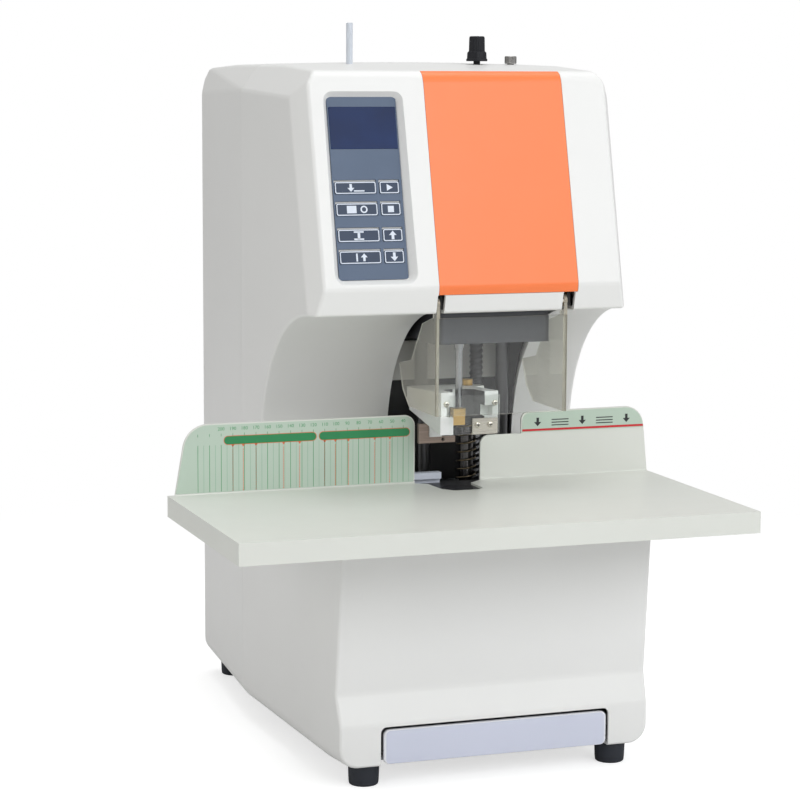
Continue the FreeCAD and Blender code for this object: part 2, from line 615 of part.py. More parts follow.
def presser():
    """Forked presser foot on its sprung post, with the small plates that it carries."""
    low, high = d.foot_low, d.foot_high
    plan = pad("foot_plan", "XY", [
        (across(-24), -95), (across(-12.8), -95), (across(-12.8), -60), (across(14.8), -60), (across(14.8), -95),
        (across(27), -95), (across(27), -42), (across(38), -36), (across(38), -9), (across(-24), -9),
    ], low, high - low, [(2, 13), (3, 13), (7, 5), (8, 8), (9, 10)])
    side = pad("foot_side", "YZ", [
        (-96, low), (-87, low + 1), (-9, low + 13), (-9, high - 5), (-96, high),
    ], across(-30), 80)
    hollows = [
        box("foot_hollow", (across(-19), across(22)), (-62, -14), (low - 5, high - 18)),
        box("foot_notch_left", (across(-18.6), across(-12)), (-96, -85), (low + 15, low + 24)),
        box("foot_notch_right", (across(14), across(21.7)), (-96, -85), (low + 15, low + 24)),
    ]
    body = cut("foot_casting", common("foot_rough", [plan, side]), hollows)
    hub_top = d.arm_top + 88.5
    hub = cylinder("foot_hub", (across(d.post_x), d.post_y, low), 11, hub_top - low)
    lug = box("foot_lug", (across(-18.7), across(-8)), (-55, -47), (low - 7.3, high - 15))
    bores = [cylinder("foot_bore", (across(d.post_x), d.post_y, low - 1), d.post_radius + d.running_gap, 50),
             cylinder("foot_recess", (across(d.post_x), d.post_y, hub_top), 7.5, 20)]
    node("presser_foot", cut("presser_foot", fuse("foot_body", [body, hub, lug]), bores))

    node("presser_shield", box("presser_shield", (across(-16.5), across(28)), (-96.5, -95), (low, high - 3)))
    node("tube_block", box("tube_block", (across(-12.6), across(-2)), (-94, -86), (low + 8, low + 22)))
    node("foot_bracket", box("foot_bracket", (across(3.5), across(26)), (-98, -96.5), (low, low + 13.5)))
    bar = box("link_flat", (across(-28), across(5)), (-53, -49), (low - 12.8, low - 7.3))
    ear = box("link_upright", (across(-28), across(-18.9)), (-53, -49), (low - 7.8, low + 4))
    hole = cylinder("link_hole", (across(-6), -54, low - 10), 1.5, 6, "y")
    node("link_bar", cut("link_bar", fuse("link_blank", [bar, ear]), [hole]))
    heads = [(-19.3, -95, 26.2), (23.5, -96.5, 26.2), (8, -98, 8), (19.2, -98, 8)]
    screws = [cylinder("presser_screw_%d" % number, (across(x), y - 1.8, low + climb), 2.6, 1.8, "y")
              for number, (x, y, climb) in enumerate(heads)]
    node("presser_screws", group("presser_screws", screws))

    node("spring_post", cylinder("spring_post", (across(d.post_x), d.post_y, d.arm_top), d.post_radius, 89))
    node("post_cap", cylinder("post_cap", (across(d.post_x), d.post_y, d.arm_top + 89), 4.8, 9))
    node("return_spring", coil_spring())


def arc_from(start, tangent, end):
    """The arc that leaves start along a tangent and ends at end."""
    chord = end - start
    side = tangent - chord * (tangent.dot(chord) / chord.dot(chord))
    angle = tangent.getAngle(chord)
    middle = start + chord / 2 + side.normalize() * (chord.Length / 2 * math.tan(angle / 2))
    return Part.Arc(start, middle, end).toShape()


def biarc(start, start_way, end, end_way):
    """Two arcs that meet smoothly between two points with given directions."""
    gap = end - start
    ways = start_way + end_way
    spread = 2 * (1 - start_way.dot(end_way))
    reach = (math.sqrt(gap.dot(ways) ** 2 + spread * gap.dot(gap)) - gap.dot(ways)) / spread
    joint = (start + end + (start_way - end_way) * reach) / 2
    chord = (joint - start).normalize()
    joint_way = chord * (2 * chord.dot(start_way)) - start_way
    return [arc_from(start, start_way, joint), arc_from(joint, joint_way, end)]


def coil_spring():
    """Compression spring round the post: one unbroken wire on quarter-turn biarcs."""
    radius, low, high = d.spring_radius.number, d.spring_low.number, d.spring_high.number
    turns = int(d.spring_turns.number)
    rise = (high - low) / (2 * math.pi * turns)
    middle = V(SIZES["centre_x"] + SIZES["post_x"], SIZES["post_y"], 0)

    def point(angle):
        return middle + V(radius * math.cos(angle), radius * math.sin(angle), low + rise * angle)

    def way(angle):
        return V(-radius * math.sin(angle), radius * math.cos(angle), rise).normalize()

    edges = []
    for quarter in range(4 * turns):
        first, second = quarter * math.pi / 2, (quarter + 1) * math.pi / 2
        edges += biarc(point(first), way(first), point(second), way(second))
    path = Part.Wire(edges)
    section = Part.Wire([Part.Circle(point(0), way(0), d.wire_radius.number).toShape()])
    obj = doc.addObject("Part::Feature", "return_spring")
    obj.Shape = path.makePipeShell([section], True, False)
    print("spring: least gap between neighbouring turns %.2f mm" % least_gap(point, turns, d.wire_radius.number))
    return obj


def least_gap(point, turns, wire):
    """Least clear distance between points of the wire that lie over half a turn apart."""
    steps = 48
    places = [point(2 * math.pi * index / steps) for index in range(turns * steps + 1)]
    least = min((places[i] - places[j]).Length for i in range(len(places))
                for j in range(i + steps // 2, min(i + 2 * steps, len(places))))
    return least - 2 * wire


def top_controls():
    """Setting knob, slotted cap and the tube that feeds the rivets, on top of the head."""
    x, y = across(d.knob_x), d.top_y
    node("setting_knob", fuse("setting_knob", [
        cone("knob_skirt", (x, y, 584.5), 9.4, 8, 4.5), cone("knob_body", (x, y, 589), 7.6, 6.9, 17.5),
        cylinder("knob_shaft", (x, y, 566), 3, 19),
    ]))
    pot = cylinder("pot_body", (x, y, 558), 8, 19)
    node("knob_potentiometer", cut("knob_potentiometer", pot, [cylinder("pot_bore", (x, y, 565), 3.05, 20)]))
    x = across(d.cap_x)
    node("adjusting_cap", fuse("adjusting_cap", [
        cylinder("cap_head", (x, y, 582.4), 5.3, 6.8), cylinder("cap_stem", (x, y, 566), 3, 17),
    ]))
    x = across(d.tube_x)
    tube = cylinder("tube_wall", (x, y, 540), d.tube_radius, d.tube_top - 540)
    node("nylon_tube", cut("nylon_tube", tube, [cylinder("tube_bore", (x, y, 539), 1.9, 90)]))


def electrics():
    """Mains inlet with its rocker switch, power supply and main board in the rear."""
    back = d.rear_y
    flange = box("inlet_flange", (across(36), across(72)), (back, back + 2), (51, 111))
    body = box("inlet_body", (across(40.3), across(67.7)), (back - 22, back + 1), (55.3, 106.7))
    socket = box("inlet_socket", (across(43), across(65)), (back - 16, back + 3), (59, 77))
    well = box("inlet_well", (across(44.7), across(63.3)), (back - 14, back + 3), (84.6, 105.4))
    pins = [box("inlet_pin_%d" % number, (across(x), across(x + 2)), (back - 17, back - 3), (66, 71))
            for number, x in enumerate((46, 53, 60))]
    shell = cut("inlet_shell", fuse("inlet_blank", [flange, body]), [socket, well])
    axle = cylinder("rocker_axle", (across(44), back - 6, 95), 1.5, 20, "x")
    node("mains_inlet", fuse("mains_inlet", [shell, axle] + pins))
    rocker = pad("rocker_block", "YZ", [
        (back + 0.9, 87.2), (back - 0.8, 95), (back - 2.8, 102.8), (back - 8, 101), (back - 8, 89),
    ], across(45.5), 17)
    bore = cylinder("rocker_bore", (across(44), back - 6, 95), 1.55, 20, "x")
    node("power_switch", cut("power_switch", rocker, [bore]))

    node("power_supply", box("power_supply", (across(-100), across(-25)), (110, 235), (d.chassis_high, 82)))
    board = box("board_plate", (across(-20), across(80)), (57, 58.6), (310, 480))
    parts = [cylinder("board_post_%d_%d" % (x, z), (across(x), 49, z), 3, 9, "y")
             for x in (-14, 74) for z in (316, 474)]
    parts += [box("board_relay_%d" % number, (across(24 * number - 12), across(24 * number + 6)), (58, 74),
                  (440, 466)) for number in range(4)]
    parts += [cylinder("board_capacitor_%d" % number, (across(10 + 30 * number), 58, 350), 11, 25, "y")
              for number in range(3)]
    node("control_board", fuse("control_board", [board] + parts))


def inner_liner():
    """Black liner that closes the throat's sides and back, and the grey sheet across its back."""
    left, right, thick = across(-28.7), across(87.0), 1.2
    wing = [(33.5, 215.5), (33.5, 374), (-62, 374), (-35, 366.5), (-10, 350), (8, 329), (20, 301), (26.5, 262),
            (26.5, 215.5)]
    sides = [pad("liner_left", "YZ", wing, left, thick), pad("liner_right", "YZ", wing, right, thick)]
    back = box("liner_back", (left, right + thick), (33.5, 35), (215.5, 374))
    node("inner_liner", fuse("inner_liner", sides + [back]))
    node("back_sheet", box("back_sheet", (left + thick + 0.2, right - 0.2), (31.9, 33.4), (306, 340.5)))


shells()
control_panel()
guard()
work_table()
throat()
chassis()
frame()
carriage()
presser()
top_controls()
electrics()
inner_liner()

doc.recompute()
for obj in doc.Objects:
    if "Invalid" in obj.State or "Error" in obj.State:
        raise RuntimeError("%s did not recompute: %s" % (obj.Label, obj.State))
os.makedirs("parts", exist_ok=True)
for obj in nodes:
    if obj.Shape.isNull() or not obj.Shape.isValid():
        raise RuntimeError("%s has no valid shape" % obj.Label)
    obj.Shape.exportStep("parts/%s.step" % obj.Label)
print("%d sub-parts written" % len(nodes))
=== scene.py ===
import math

import bmesh
import bpy
from mathutils import Matrix, Vector


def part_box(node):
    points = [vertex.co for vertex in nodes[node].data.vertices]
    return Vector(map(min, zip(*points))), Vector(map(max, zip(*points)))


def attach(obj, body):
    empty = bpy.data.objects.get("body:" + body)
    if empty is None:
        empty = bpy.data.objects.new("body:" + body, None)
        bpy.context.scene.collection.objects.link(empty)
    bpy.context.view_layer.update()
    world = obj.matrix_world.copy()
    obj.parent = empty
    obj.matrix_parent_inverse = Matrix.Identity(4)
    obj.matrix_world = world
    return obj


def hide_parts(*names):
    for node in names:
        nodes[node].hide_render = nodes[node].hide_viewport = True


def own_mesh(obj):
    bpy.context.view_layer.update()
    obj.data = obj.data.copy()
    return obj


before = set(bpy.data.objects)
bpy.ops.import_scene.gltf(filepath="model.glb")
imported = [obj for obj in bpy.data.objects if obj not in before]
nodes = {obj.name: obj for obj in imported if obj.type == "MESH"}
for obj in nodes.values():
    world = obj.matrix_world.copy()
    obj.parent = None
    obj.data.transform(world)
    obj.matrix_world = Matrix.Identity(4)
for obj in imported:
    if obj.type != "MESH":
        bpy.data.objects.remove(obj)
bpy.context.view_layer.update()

# Moulded housing: white styrene, about 3 mm thick, in a front shell and a rear cover that
# meet on an upright seam. Lengths below are millimetres; piece() turns them into metres.
MM = 0.001


def reach(name):
    """Lowest and highest corner of a CAD node in millimetres."""
    low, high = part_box(name)
    return low / MM, high / MM


def srgb(red, green, blue):
    """A colour seen as 0 to 255 on a screen, as the linear values that a shader takes."""
    linear = [(value / 255 + 0.055) / 1.055 for value in (red, green, blue)]
    return [value ** 2.4 for value in linear] + [1.0]


def shader_group(name, inputs, outputs):
    """An empty node group with named sockets, and its two end nodes."""
    tree = bpy.data.node_groups.new(name, "ShaderNodeTree")
    for label, kind, value in inputs:
        socket = tree.interface.new_socket(name=label, in_out="INPUT", socket_type="NodeSocket" + kind)
        socket.default_value = value
    for label, kind in outputs:
        tree.interface.new_socket(name=label, in_out="OUTPUT", socket_type="NodeSocket" + kind)
    return tree, tree.nodes.new("NodeGroupInput").outputs, tree.nodes.new("NodeGroupOutput").inputs


def add(tree, kind, inputs=(), **settings):
    """A node with settings, whose inputs take sockets or plain values."""
    made = tree.nodes.new("ShaderNode" + kind)
    for name, value in settings.items():
        setattr(made, name, value)
    for name, value in dict(inputs).items():
        if isinstance(value, bpy.types.NodeSocket):
            tree.links.new(value, made.inputs[name])
        else:
            made.inputs[name].default_value = value
    return made


def shade_and_gloss(tree, given, result, marks, smears):
    """Darken the colour where the marks are low, and shift the roughness with the smears."""
    darkest = add(tree, "Math", {0: 1.0, 1: given["Shade Spread"]}, operation="SUBTRACT")
    shade = add(tree, "MapRange", {"Value": marks, "From Min": 0.3, "From Max": 0.7,
                                   "To Min": darkest.outputs[0], "To Max": 1.0})
    tinted = add(tree, "Mix", {0: 1.0, 6: given["Colour"], 7: shade.outputs[0]},
                 data_type="RGBA", blend_type="MULTIPLY")
    tree.links.new(tinted.outputs[2], result["Colour"])
    centred = add(tree, "Math", {0: smears, 1: 0.5}, operation="SUBTRACT").outputs[0]
    gloss = add(tree, "Math", {0: centred, 1: given["Gloss Spread"], 2: given["Roughness"]},
                operation="MULTIPLY_ADD")
    tree.links.new(gloss.outputs[0], result["Roughness"])


# Moulded or painted skin: broad faint patches of shade and gloss, and a fine grain
SOCKETS_OUT = [("Colour", "Color"), ("Roughness", "Float"), ("Height", "Float")]
skin, given, result = shader_group("Moulded_Skin", [
    ("Colour", "Color", (0.8, 0.8, 0.8, 1)), ("Shade Spread", "Float", 0.04),
    ("Patch Scale", "Float", 12.0), ("Roughness", "Float", 0.4), ("Gloss Spread", "Float", 0.08),
    ("Grain Scale", "Float", 1600.0)], SOCKETS_OUT)
where = add(skin, "TexCoord").outputs["Object"]
patches = add(skin, "TexNoise", {"Vector": where, "Scale": given["Patch Scale"], "Detail": 3.0})
smears = add(skin, "TexNoise", {"Vector": where, "Scale": 45.0, "Detail": 4.0})
shade_and_gloss(skin, given, result, patches.outputs["Fac"], smears.outputs["Fac"])
grain = add(skin, "TexNoise", {"Vector": where, "Scale": given["Grain Scale"], "Detail": 2.0})
skin.links.new(grain.outputs["Fac"], result["Height"])


def finish(name, group, inputs, bump=0.00002, **shader):
    """A material whose colour, roughness and relief come from a group."""
    material = bpy.data.materials.new(name)
    material.use_nodes = True
    tree = material.node_tree
    principled = tree.nodes["Principled BSDF"]
    effect = add(tree, "Group", node_tree=group)
    for label, value in inputs.items():
        effect.inputs[label].default_value = value
    tree.links.new(effect.outputs["Colour"], principled.inputs["Base Color"])
    tree.links.new(effect.outputs["Roughness"], principled.inputs["Roughness"])
    relief = add(tree, "Bump", {"Height": effect.outputs["Height"], "Distance": bump, "Strength": 0.6})
    tree.links.new(relief.outputs[0], principled.inputs["Normal"])
    for label, value in shader.items():
        principled.inputs[label.replace("_", " ")].default_value = value
    return material


def moulded(name, colour, shade, patch, rough, gloss, grain, bump=0.00002, **shader):
    """A moulded or painted material; shade and gloss are spreads, patch and grain scales."""
    return finish(name, skin, {
        "Colour": srgb(*colour), "Shade Spread": shade, "Patch Scale": patch, "Roughness": rough,
        "Gloss Spread": gloss, "Grain Scale": grain}, bump, **shader)


shell_white = moulded("shell_white", (231, 231, 229), shade=0.018, patch=7.0, rough=0.38, gloss=0.1,
                      grain=1100.0, bump=0.00003, Specular_IOR_Level=0.4)


def arc(centre, radius, start, end, steps):
    """Points of an arc in a plane, from one angle to another in degrees."""
    turns = [math.radians(start + (end - start) * step / steps) for step in range(steps + 1)]
    return [(centre[0] + radius * math.cos(turn), centre[1] + radius * math.sin(turn)) for turn in turns]


def flat(u, v, w):
    return Vector((u, v, w))


def facing(u, v, w):
    """Outline in X and Z, thickness along Y."""
    return Vector((u, w, v))


def sideways(u, v, w):
    """Outline in Y and Z, thickness along X."""
    return Vector((w, u, v))


def prism(shape, outline, low, high, lay=flat):
    """Add a straight solid that stands on an outline."""
    ends = [[shape.verts.new(lay(u, v, w)) for u, v in outline] for w in (low, high)]
    shape.faces.new(ends[0])
    shape.faces.new(ends[1])
    for index in range(len(outline)):
        ahead = (index + 1) % len(outline)
        shape.faces.new((ends[0][index], ends[0][ahead], ends[1][ahead], ends[1][index]))
    return shape


def block(low, high):
    """A rectangular tool or blank between two corners."""
    outline = [(low[0], low[1]), (high[0], low[1]), (high[0], high[1]), (low[0], high[1])]
    return prism(bmesh.new(), outline, low[2], high[2])


def loft(shape, loops):
    """Add a closed solid through loops that have the same number of points."""
    rings = [[shape.verts.new(point) for point in loop] for loop in loops]
    shape.faces.new(rings[0])
    shape.faces.new(rings[-1])
    for near, far in zip(rings, rings[1:]):
        for index in range(len(near)):
            ahead = (index + 1) % len(near)
            shape.faces.new((near[index], near[ahead], far[ahead], far[index]))
    return shape


def plan_middle(low, high):
    """The middle of a box seen from above."""
    return (low.x + high.x) / 2, (low.y + high.y) / 2


def rounded(low, high, radius):
    """Outline of a rectangle with round corners."""
    outline = []
    corners = (high[0], high[1]), (low[0], high[1]), (low[0], low[1]), (high[0], low[1])
    for corner, start in zip(corners, (0, 90, 180, 270)):
        centre = [corner[0] - math.copysign(radius, corner[0] - low[0] - 1e-6),
                  corner[1] - math.copysign(radius, corner[1] - low[1] - 1e-6)]
        outline += arc(centre, radius, start, start + 90, 6)
    return outline


def carve(body, tool, how="DIFFERENCE"):
    """The exact boolean of two shapes; both are used up."""
    made = []
    for shape in (body, tool):
        bmesh.ops.recalc_face_normals(shape, faces=shape.faces)
        mesh = bpy.data.meshes.new("carving")
        shape.to_mesh(mesh)
        shape.free()
        made.append(bpy.data.objects.new("carving", mesh))
        bpy.context.collection.objects.link(made[-1])
    step = made[0].modifiers.new("carve", "BOOLEAN")
    step.operation, step.solver, step.object, step.use_self = how, "EXACT", made[1], True
    carved = bmesh.new()
    carved.from_object(made[0], bpy.context.evaluated_depsgraph_get())
    for obj in made:
        bpy.data.objects.remove(obj)
    return carved


def trim(shape, point, normal, above=-1000.0):
    """Cut away what lies beyond a plane and over a height, and close the cut."""
    kept = [item for item in shape.faces if min(vert.co.z for vert in item.verts) > above]
    corners = list({vert for item in kept for vert in item.verts})
    edges = list({edge for item in kept for edge in item.edges})
    found = bmesh.ops.bisect_plane(shape, geom=corners + edges + kept, dist=1e-4,
                                   plane_co=point, plane_no=normal, clear_outer=True)
    rim = [item for item in found["geom_cut"] if isinstance(item, bmesh.types.BMEdge)]
    if rim:
        bmesh.ops.edgeloop_fill(shape, edges=rim)


def piece(name, shape, materials, body="root", stands_for=(), sharp=32):
    """Finish a shape as an object in metres that rides on a CAD body."""
    bmesh.ops.recalc_face_normals(shape, faces=shape.faces)
    mesh = bpy.data.meshes.new(name)
    shape.to_mesh(mesh)
    shape.free()
    mesh.transform(Matrix.Scale(MM, 4))
    for material in materials if isinstance(materials, list) else [materials]:
        mesh.materials.append(material)
    mesh.shade_smooth()
    mesh.set_sharp_from_angle(angle=math.radians(sharp))
    obj = bpy.data.objects.new(name, mesh)
    bpy.context.collection.objects.link(obj)
    obj.modifiers.new("even_faces", "WEIGHTED_NORMAL").keep_sharp = True
    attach(obj, body)
    if stands_for:
        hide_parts(*stands_for)
    return obj


front_low, front_high = reach("front_shell")
rear_low, rear_high = reach("rear_cover")
MIDDLE = (front_low.x + front_high.x) / 2
WALL = 3.0
SEAM_Y = front_high.y
CHIN_Y, CHIN_Z = -111.8, 400.0
BROW_Y, BROW_Z = -68.7, 577.5
HALF_FRONT, HALF_SEAM, HALF_REAR, HEAD_HALF = 138.2, 147.0, 133.5, 131.0
ARCH_RADIUS, COLUMN_Y, HEAD_BOTTOM, BASE_SHELF = 128.0, 26.0, 378.0, 225.6
CROWN_RADIUS = 2700.0


def housing_form(inset, soft):
    """The closed outer form of the whole housing, moved in by an inset, with soft edges."""
    shelf, ceiling, column = BASE_SHELF - inset, HEAD_BOTTOM + inset, COLUMN_Y + inset
    radius = ARCH_RADIUS
    profile = [(-167.8 + inset, 17.5 + inset), (-167.8 + inset, 52), (-159 + inset, 77),
               (-175.5 + inset, shelf), (column, shelf)]
    profile += arc((column - radius, ceiling - radius), radius, 0, 90, 24)
    profile += [(-106 + inset, ceiling), (CHIN_Y + inset, CHIN_Z)]
    profile += arc((BROW_Y + 11.3 + inset, BROW_Z - 12.7 - inset), 12 - inset, 166, 93, 3)
    profile += [(SEAM_Y, 583.5 - inset)]
    profile += arc((rear_high.y - 10, rear_high.z - 16), 10 - inset, 88, 0, 1)
    profile += [(rear_high.y - inset, 17.5 + inset)]
    form = prism(bmesh.new(), profile, MIDDLE - 160, MIDDLE + 160, sideways)
    for hand in (-1, 1):
        def side(x, y, z, run_x, run_y, run_z, rise_x, rise_y, rise_z, above=-1000.0):
            run, rise = Vector((hand * run_x, run_y, run_z)), Vector((hand * rise_x, rise_y, rise_z))
            normal = run.cross(rise).normalized()
            normal *= math.copysign(1, normal.x * hand)
            trim(form, Vector((MIDDLE + hand * x, y, z)) - normal * inset, normal, above)
        side(HALF_FRONT, -180.5, 0, HALF_SEAM - HALF_FRONT, 257.5, 0, 0, 0, 1)
        side(HALF_SEAM, 77, 0, HALF_REAR - HALF_SEAM, 183, 0, 0, 0, 1)
        side(134.5, -175.5, 0, 4.3, 33.5, 0, 0, 0, 1)
        bmesh.ops.bisect_plane(form, geom=form.verts[:] + form.edges[:] + form.faces[:], dist=1e-4,
                               plane_co=(0, 0, 300), plane_no=(0, 0, 1))
        side(HEAD_HALF, BROW_Y, BROW_Z, 0, CHIN_Y - BROW_Y, CHIN_Z - BROW_Z, 11, 22, 0, above=299)
        side(147, 77, 559.5, -16.5, 0, 21.5, -5, -114, -3)
        side(147, 77, 559.5, -16.5, 0, 21.5, -18, 183, 16)
        side(147, 77, 559.5, -13.5, 183, -5.5, -18, 183, 16)
        for across in (25, 75, 125):
            drop = across ** 2 / (2 * CROWN_RADIUS)
            trim(form, (MIDDLE + hand * across, 0, 583.5 - inset - drop),
                 (hand * across / CROWN_RADIUS, 0, 1))
    bmesh.ops.dissolve_limit(form, angle_limit=math.radians(0.2), verts=form.verts, edges=form.edges)
    for limit, low, high in ((2.0, -200, 200), (5.0, 200, 300)) if soft else ():
        short = {vert for edge in form.edges if edge.calc_length() < limit for vert in edge.verts
                 if vert.co.z > 540 and low < vert.co.y < high}
        bmesh.ops.remove_doubles(form, verts=list(short), dist=limit)

    def bevel(edges, offset, segments):
        bmesh.ops.bevel(form, geom=edges, offset=offset, offset_type="OFFSET", segments=segments,
                        profile=0.5, affect="EDGES", clamp_overlap=False)

    bevel([edge for edge in form.edges if all(abs(vert.co.z - 17.5 - inset) < 0.1 for vert in edge.verts)
           and abs(edge.verts[0].co.x - edge.verts[1].co.x) < 30], 16.0 - inset, 9)
    if soft:
        bevel([edge for edge in form.edges if edge.calc_face_angle(0) > math.radians(12)], soft, 4)
    return form


def leaning(x, climb, depth):
    """A point on the leaning front of the head: across, up along it from the chin, and into it."""
    up = Vector((0, BROW_Y - CHIN_Y, BROW_Z - CHIN_Z)).normalized()
    return Vector((MIDDLE + x, CHIN_Y, CHIN_Z)) + up * climb + Vector((0, up.z, -up.y)) * depth


def panel_recess():
    """The tapered recess with round corners that the control panel lies in."""
    loops = []
    for at, inward, radius in ((-6.0, -1.6, 9.5), (-0.1, -1.6, 9.5), (0.5, -0.7, 8.8), (1.6, 0.1, 8.0),
                               (8.1, 4.1, 4.6), (9.0, 4.7, 4.0)):
        outline = rounded((-119.9 + inward, 5.0 + inward), (-50.5 - inward, 165.0 - inward), radius)
        loops.append([leaning(u, v, at) for u, v in outline])
    return loft(bmesh.new(), loops)


SOFT = 2.5
PLATE_LOW, PLATE_REAR, PLATE_THICK, GAP = 394.0, -60.0, 1.6, 0.35
plate_left, plate_right = MIDDLE - 31.5, MIDDLE + 92.0


def plate_room(gap):
    """The room that the coloured plate takes up, or the recess round it."""
    low, high = (plate_left - gap, -150, PLATE_LOW - gap), (plate_right + gap, PLATE_REAR + gap, 600)
    return carve(block(low, high), housing_form(PLATE_THICK, 0))


front = housing_form(0, SOFT)
trim(front, (0, SEAM_Y, 0), (0, 1, 0))
hollow = carve(housing_form(WALL, 0), loft(bmesh.new(), [
    [leaning(u, v, depth) for u, v in rounded((-122, 3), (-48.5, 167), 8)] for depth in (0.5, 11.5)]))
front = carve(front, hollow)
front = carve(front, plate_room(GAP))
front = carve(front, panel_recess())
throat_low, throat_high = MIDDLE - 29.5, MIDDLE + 88.5
tools = block((throat_low, -98, 205), (throat_high, 45, HEAD_BOTTOM + 5))
for left in (throat_low - 3.0, throat_high - 9.0):
    prism(tools, rounded((left, 372), (left + (7 if left < MIDDLE else 11), 394), 1.5), -125, -85, facing)
prism(tools, rounded((MIDDLE - 100.5, 0), (MIDDLE + 100.5, 50), 5.0), -180, -149, facing)
for name, radius in (("nylon_tube", 3.0), ("setting_knob", 3.4), ("adjusting_cap", 3.4)):
    low, high = reach(name)
    prism(tools, arc(plan_middle(low, high), radius, 0, 337.5, 15), 560, 600)
front = carve(front, tools)
piece("front_housing", front, shell_white, stands_for=["front_shell"])

rear = housing_form(0, SOFT)
trim(rear, (0, rear_low.y, 0), (0, -1, 0))
rear = carve(rear, housing_form(WALL, 0))
tools = bmesh.new()
for number in range(8):
    vent = rounded((MIDDLE - 45, 430 + 11 * number), (MIDDLE + 45, 435 + 11 * number), 2.4)
    prism(tools, vent, 245, 270, facing)
prism(tools, rounded((MIDDLE + 40, 55), (MIDDLE + 68, 107), 1.0), 245, 270, facing)
rear = carve(rear, tools)
piece("rear_housing", rear, shell_white, stands_for=["rear_cover"])

# Coloured plate: thin moulded sheet let into the front of the head and over its brow and
# glued in flush.
face_orange = moulded("face_orange", (248, 127, 68), shade=0.03, patch=9.0, rough=0.36, gloss=0.08,
                      grain=1400.0)
plate = carve(housing_form(0, SOFT), plate_room(0), "INTERSECT")
piece("orange_plate", plate, face_orange, stands_for=["face_plate"])

# Control panel: a printed film on a sheet at the bottom of the recess, with a dark display
# window at the top and eight keys in two columns that are pressed through it.
panel_film = moulded("panel_film", (84, 100, 123), shade=0.05, patch=25.0, rough=0.42, gloss=0.12,
                     grain=2500.0, bump=0.00001, Specular_IOR_Level=0.35)
display_glass = moulded("display_glass", (6, 38, 86), shade=0.3, patch=30.0, rough=0.16, gloss=0.05,
                        grain=600.0, bump=0.0, Specular_IOR_Level=0.12)
key_blue = moulded("key_blue", (42, 58, 82), shade=0.08, patch=80.0, rough=0.4, gloss=0.1,
                   grain=2500.0, bump=0.00001, Specular_IOR_Level=0.35)
key_print = moulded("key_print", (214, 222, 234), shade=0.03, patch=60.0, rough=0.45, gloss=0.05,
                    grain=2000.0, bump=0.0)
board_green = moulded("board_green", (40, 110, 66), shade=0.3, patch=120.0, rough=0.4, gloss=0.2,
                      grain=900.0, bump=0.00006)


def dress(material, *names):
    """Give CAD nodes whose shape is kept their finished material."""
    for name in names:
        nodes[name].data.materials.clear()
        nodes[name].data.materials.append(material)


def ring(shape, outer, inner, low, high, lay=flat):
    """Add a flat frame between two outlines with the same number of points."""
    loops = [[shape.verts.new(lay(u, v, w)) for u, v in outline]
             for outline, w in ((outer, low), (outer, high), (inner, high), (inner, low))]
    for near, far in zip(loops, loops[1:] + loops[:1]):
        for index in range(len(outer)):
            ahead = (index + 1) % len(outer)
            shape.faces.new((near[index], near[ahead], far[ahead], far[index]))
    return shape


dress(panel_film, "control_panel")
dress(board_green, "panel_board", "control_board")
loops = []
for depth, inset in ((8.4, 0.05), (7.35, 0.05), (7.2, 0.25)):
    outline = rounded((-114.2 + inset, 117.8 + inset), (-56.2 - inset, 153 - inset), 1.2)
    loops.append([leaning(u, v, depth) for u, v in outline])
window = loft(bmesh.new(), loops)
piece("display_pane", window, display_glass, stands_for=["display_window"])

KEY_DEPTH, LEAN = 6.9, 13.65


def arrow(centre, size, up):
    """Outline of a plain arrow."""
    u, v = centre
    points = [(-0.16, -0.5), (0.16, -0.5), (0.16, 0), (0.45, 0), (0, 0.5), (-0.45, 0), (-0.16, 0)]
    return [(u + size * a, v + size * b * up) for a, b in points]


def bar(centre, width, height):
    """Outline of a plain bar."""
    u, v = centre
    return [(u - width / 2, v - height / 2), (u + width / 2, v - height / 2),
            (u + width / 2, v + height / 2), (u - width / 2, v + height / 2)]


def key_marks(shape, column, row, middle, low, high):
    """Plain signs for what a key does: hole, rivet, pin, start, stop, up and down."""
    def sign(outline):
        prism(shape, outline, low, high, leaning)

    def hole(centre, radius):
        ring(shape, arc(centre, radius, 0, 345, 23), arc(centre, radius * 0.6, 0, 345, 23),
             low, high, leaning)

    u, v = middle
    if column == "small":
        if row == 1:
            sign([(u - 2.2, v - 2.8), (u + 3, v), (u - 2.2, v + 2.8)])
        elif row == 2:
            sign(bar(middle, 5.2, 5.2))
        else:
            sign(arrow(middle, 7.2, 1 if row == 3 else -1))
    elif row == 1:
        sign(arrow((u - 4, v), 6.6, -1))
        sign(bar((u + 3, v - 2.6), 9, 1.1))
    elif row == 2:
        sign(bar((u - 4.6, v), 8.2, 6.2))
        hole((u + 6, v), 3.1)
    elif row == 3:
        sign(bar((u, v), 2.2, 6.4))
        sign(bar((u, v - 3), 8.5, 1.3))
        sign(bar((u, v + 3), 8.5, 1.3))
    else:
        sign(bar((u - 3, v), 1.4, 6.6))
        sign(arrow((u + 3.2, v), 6.4, 1))


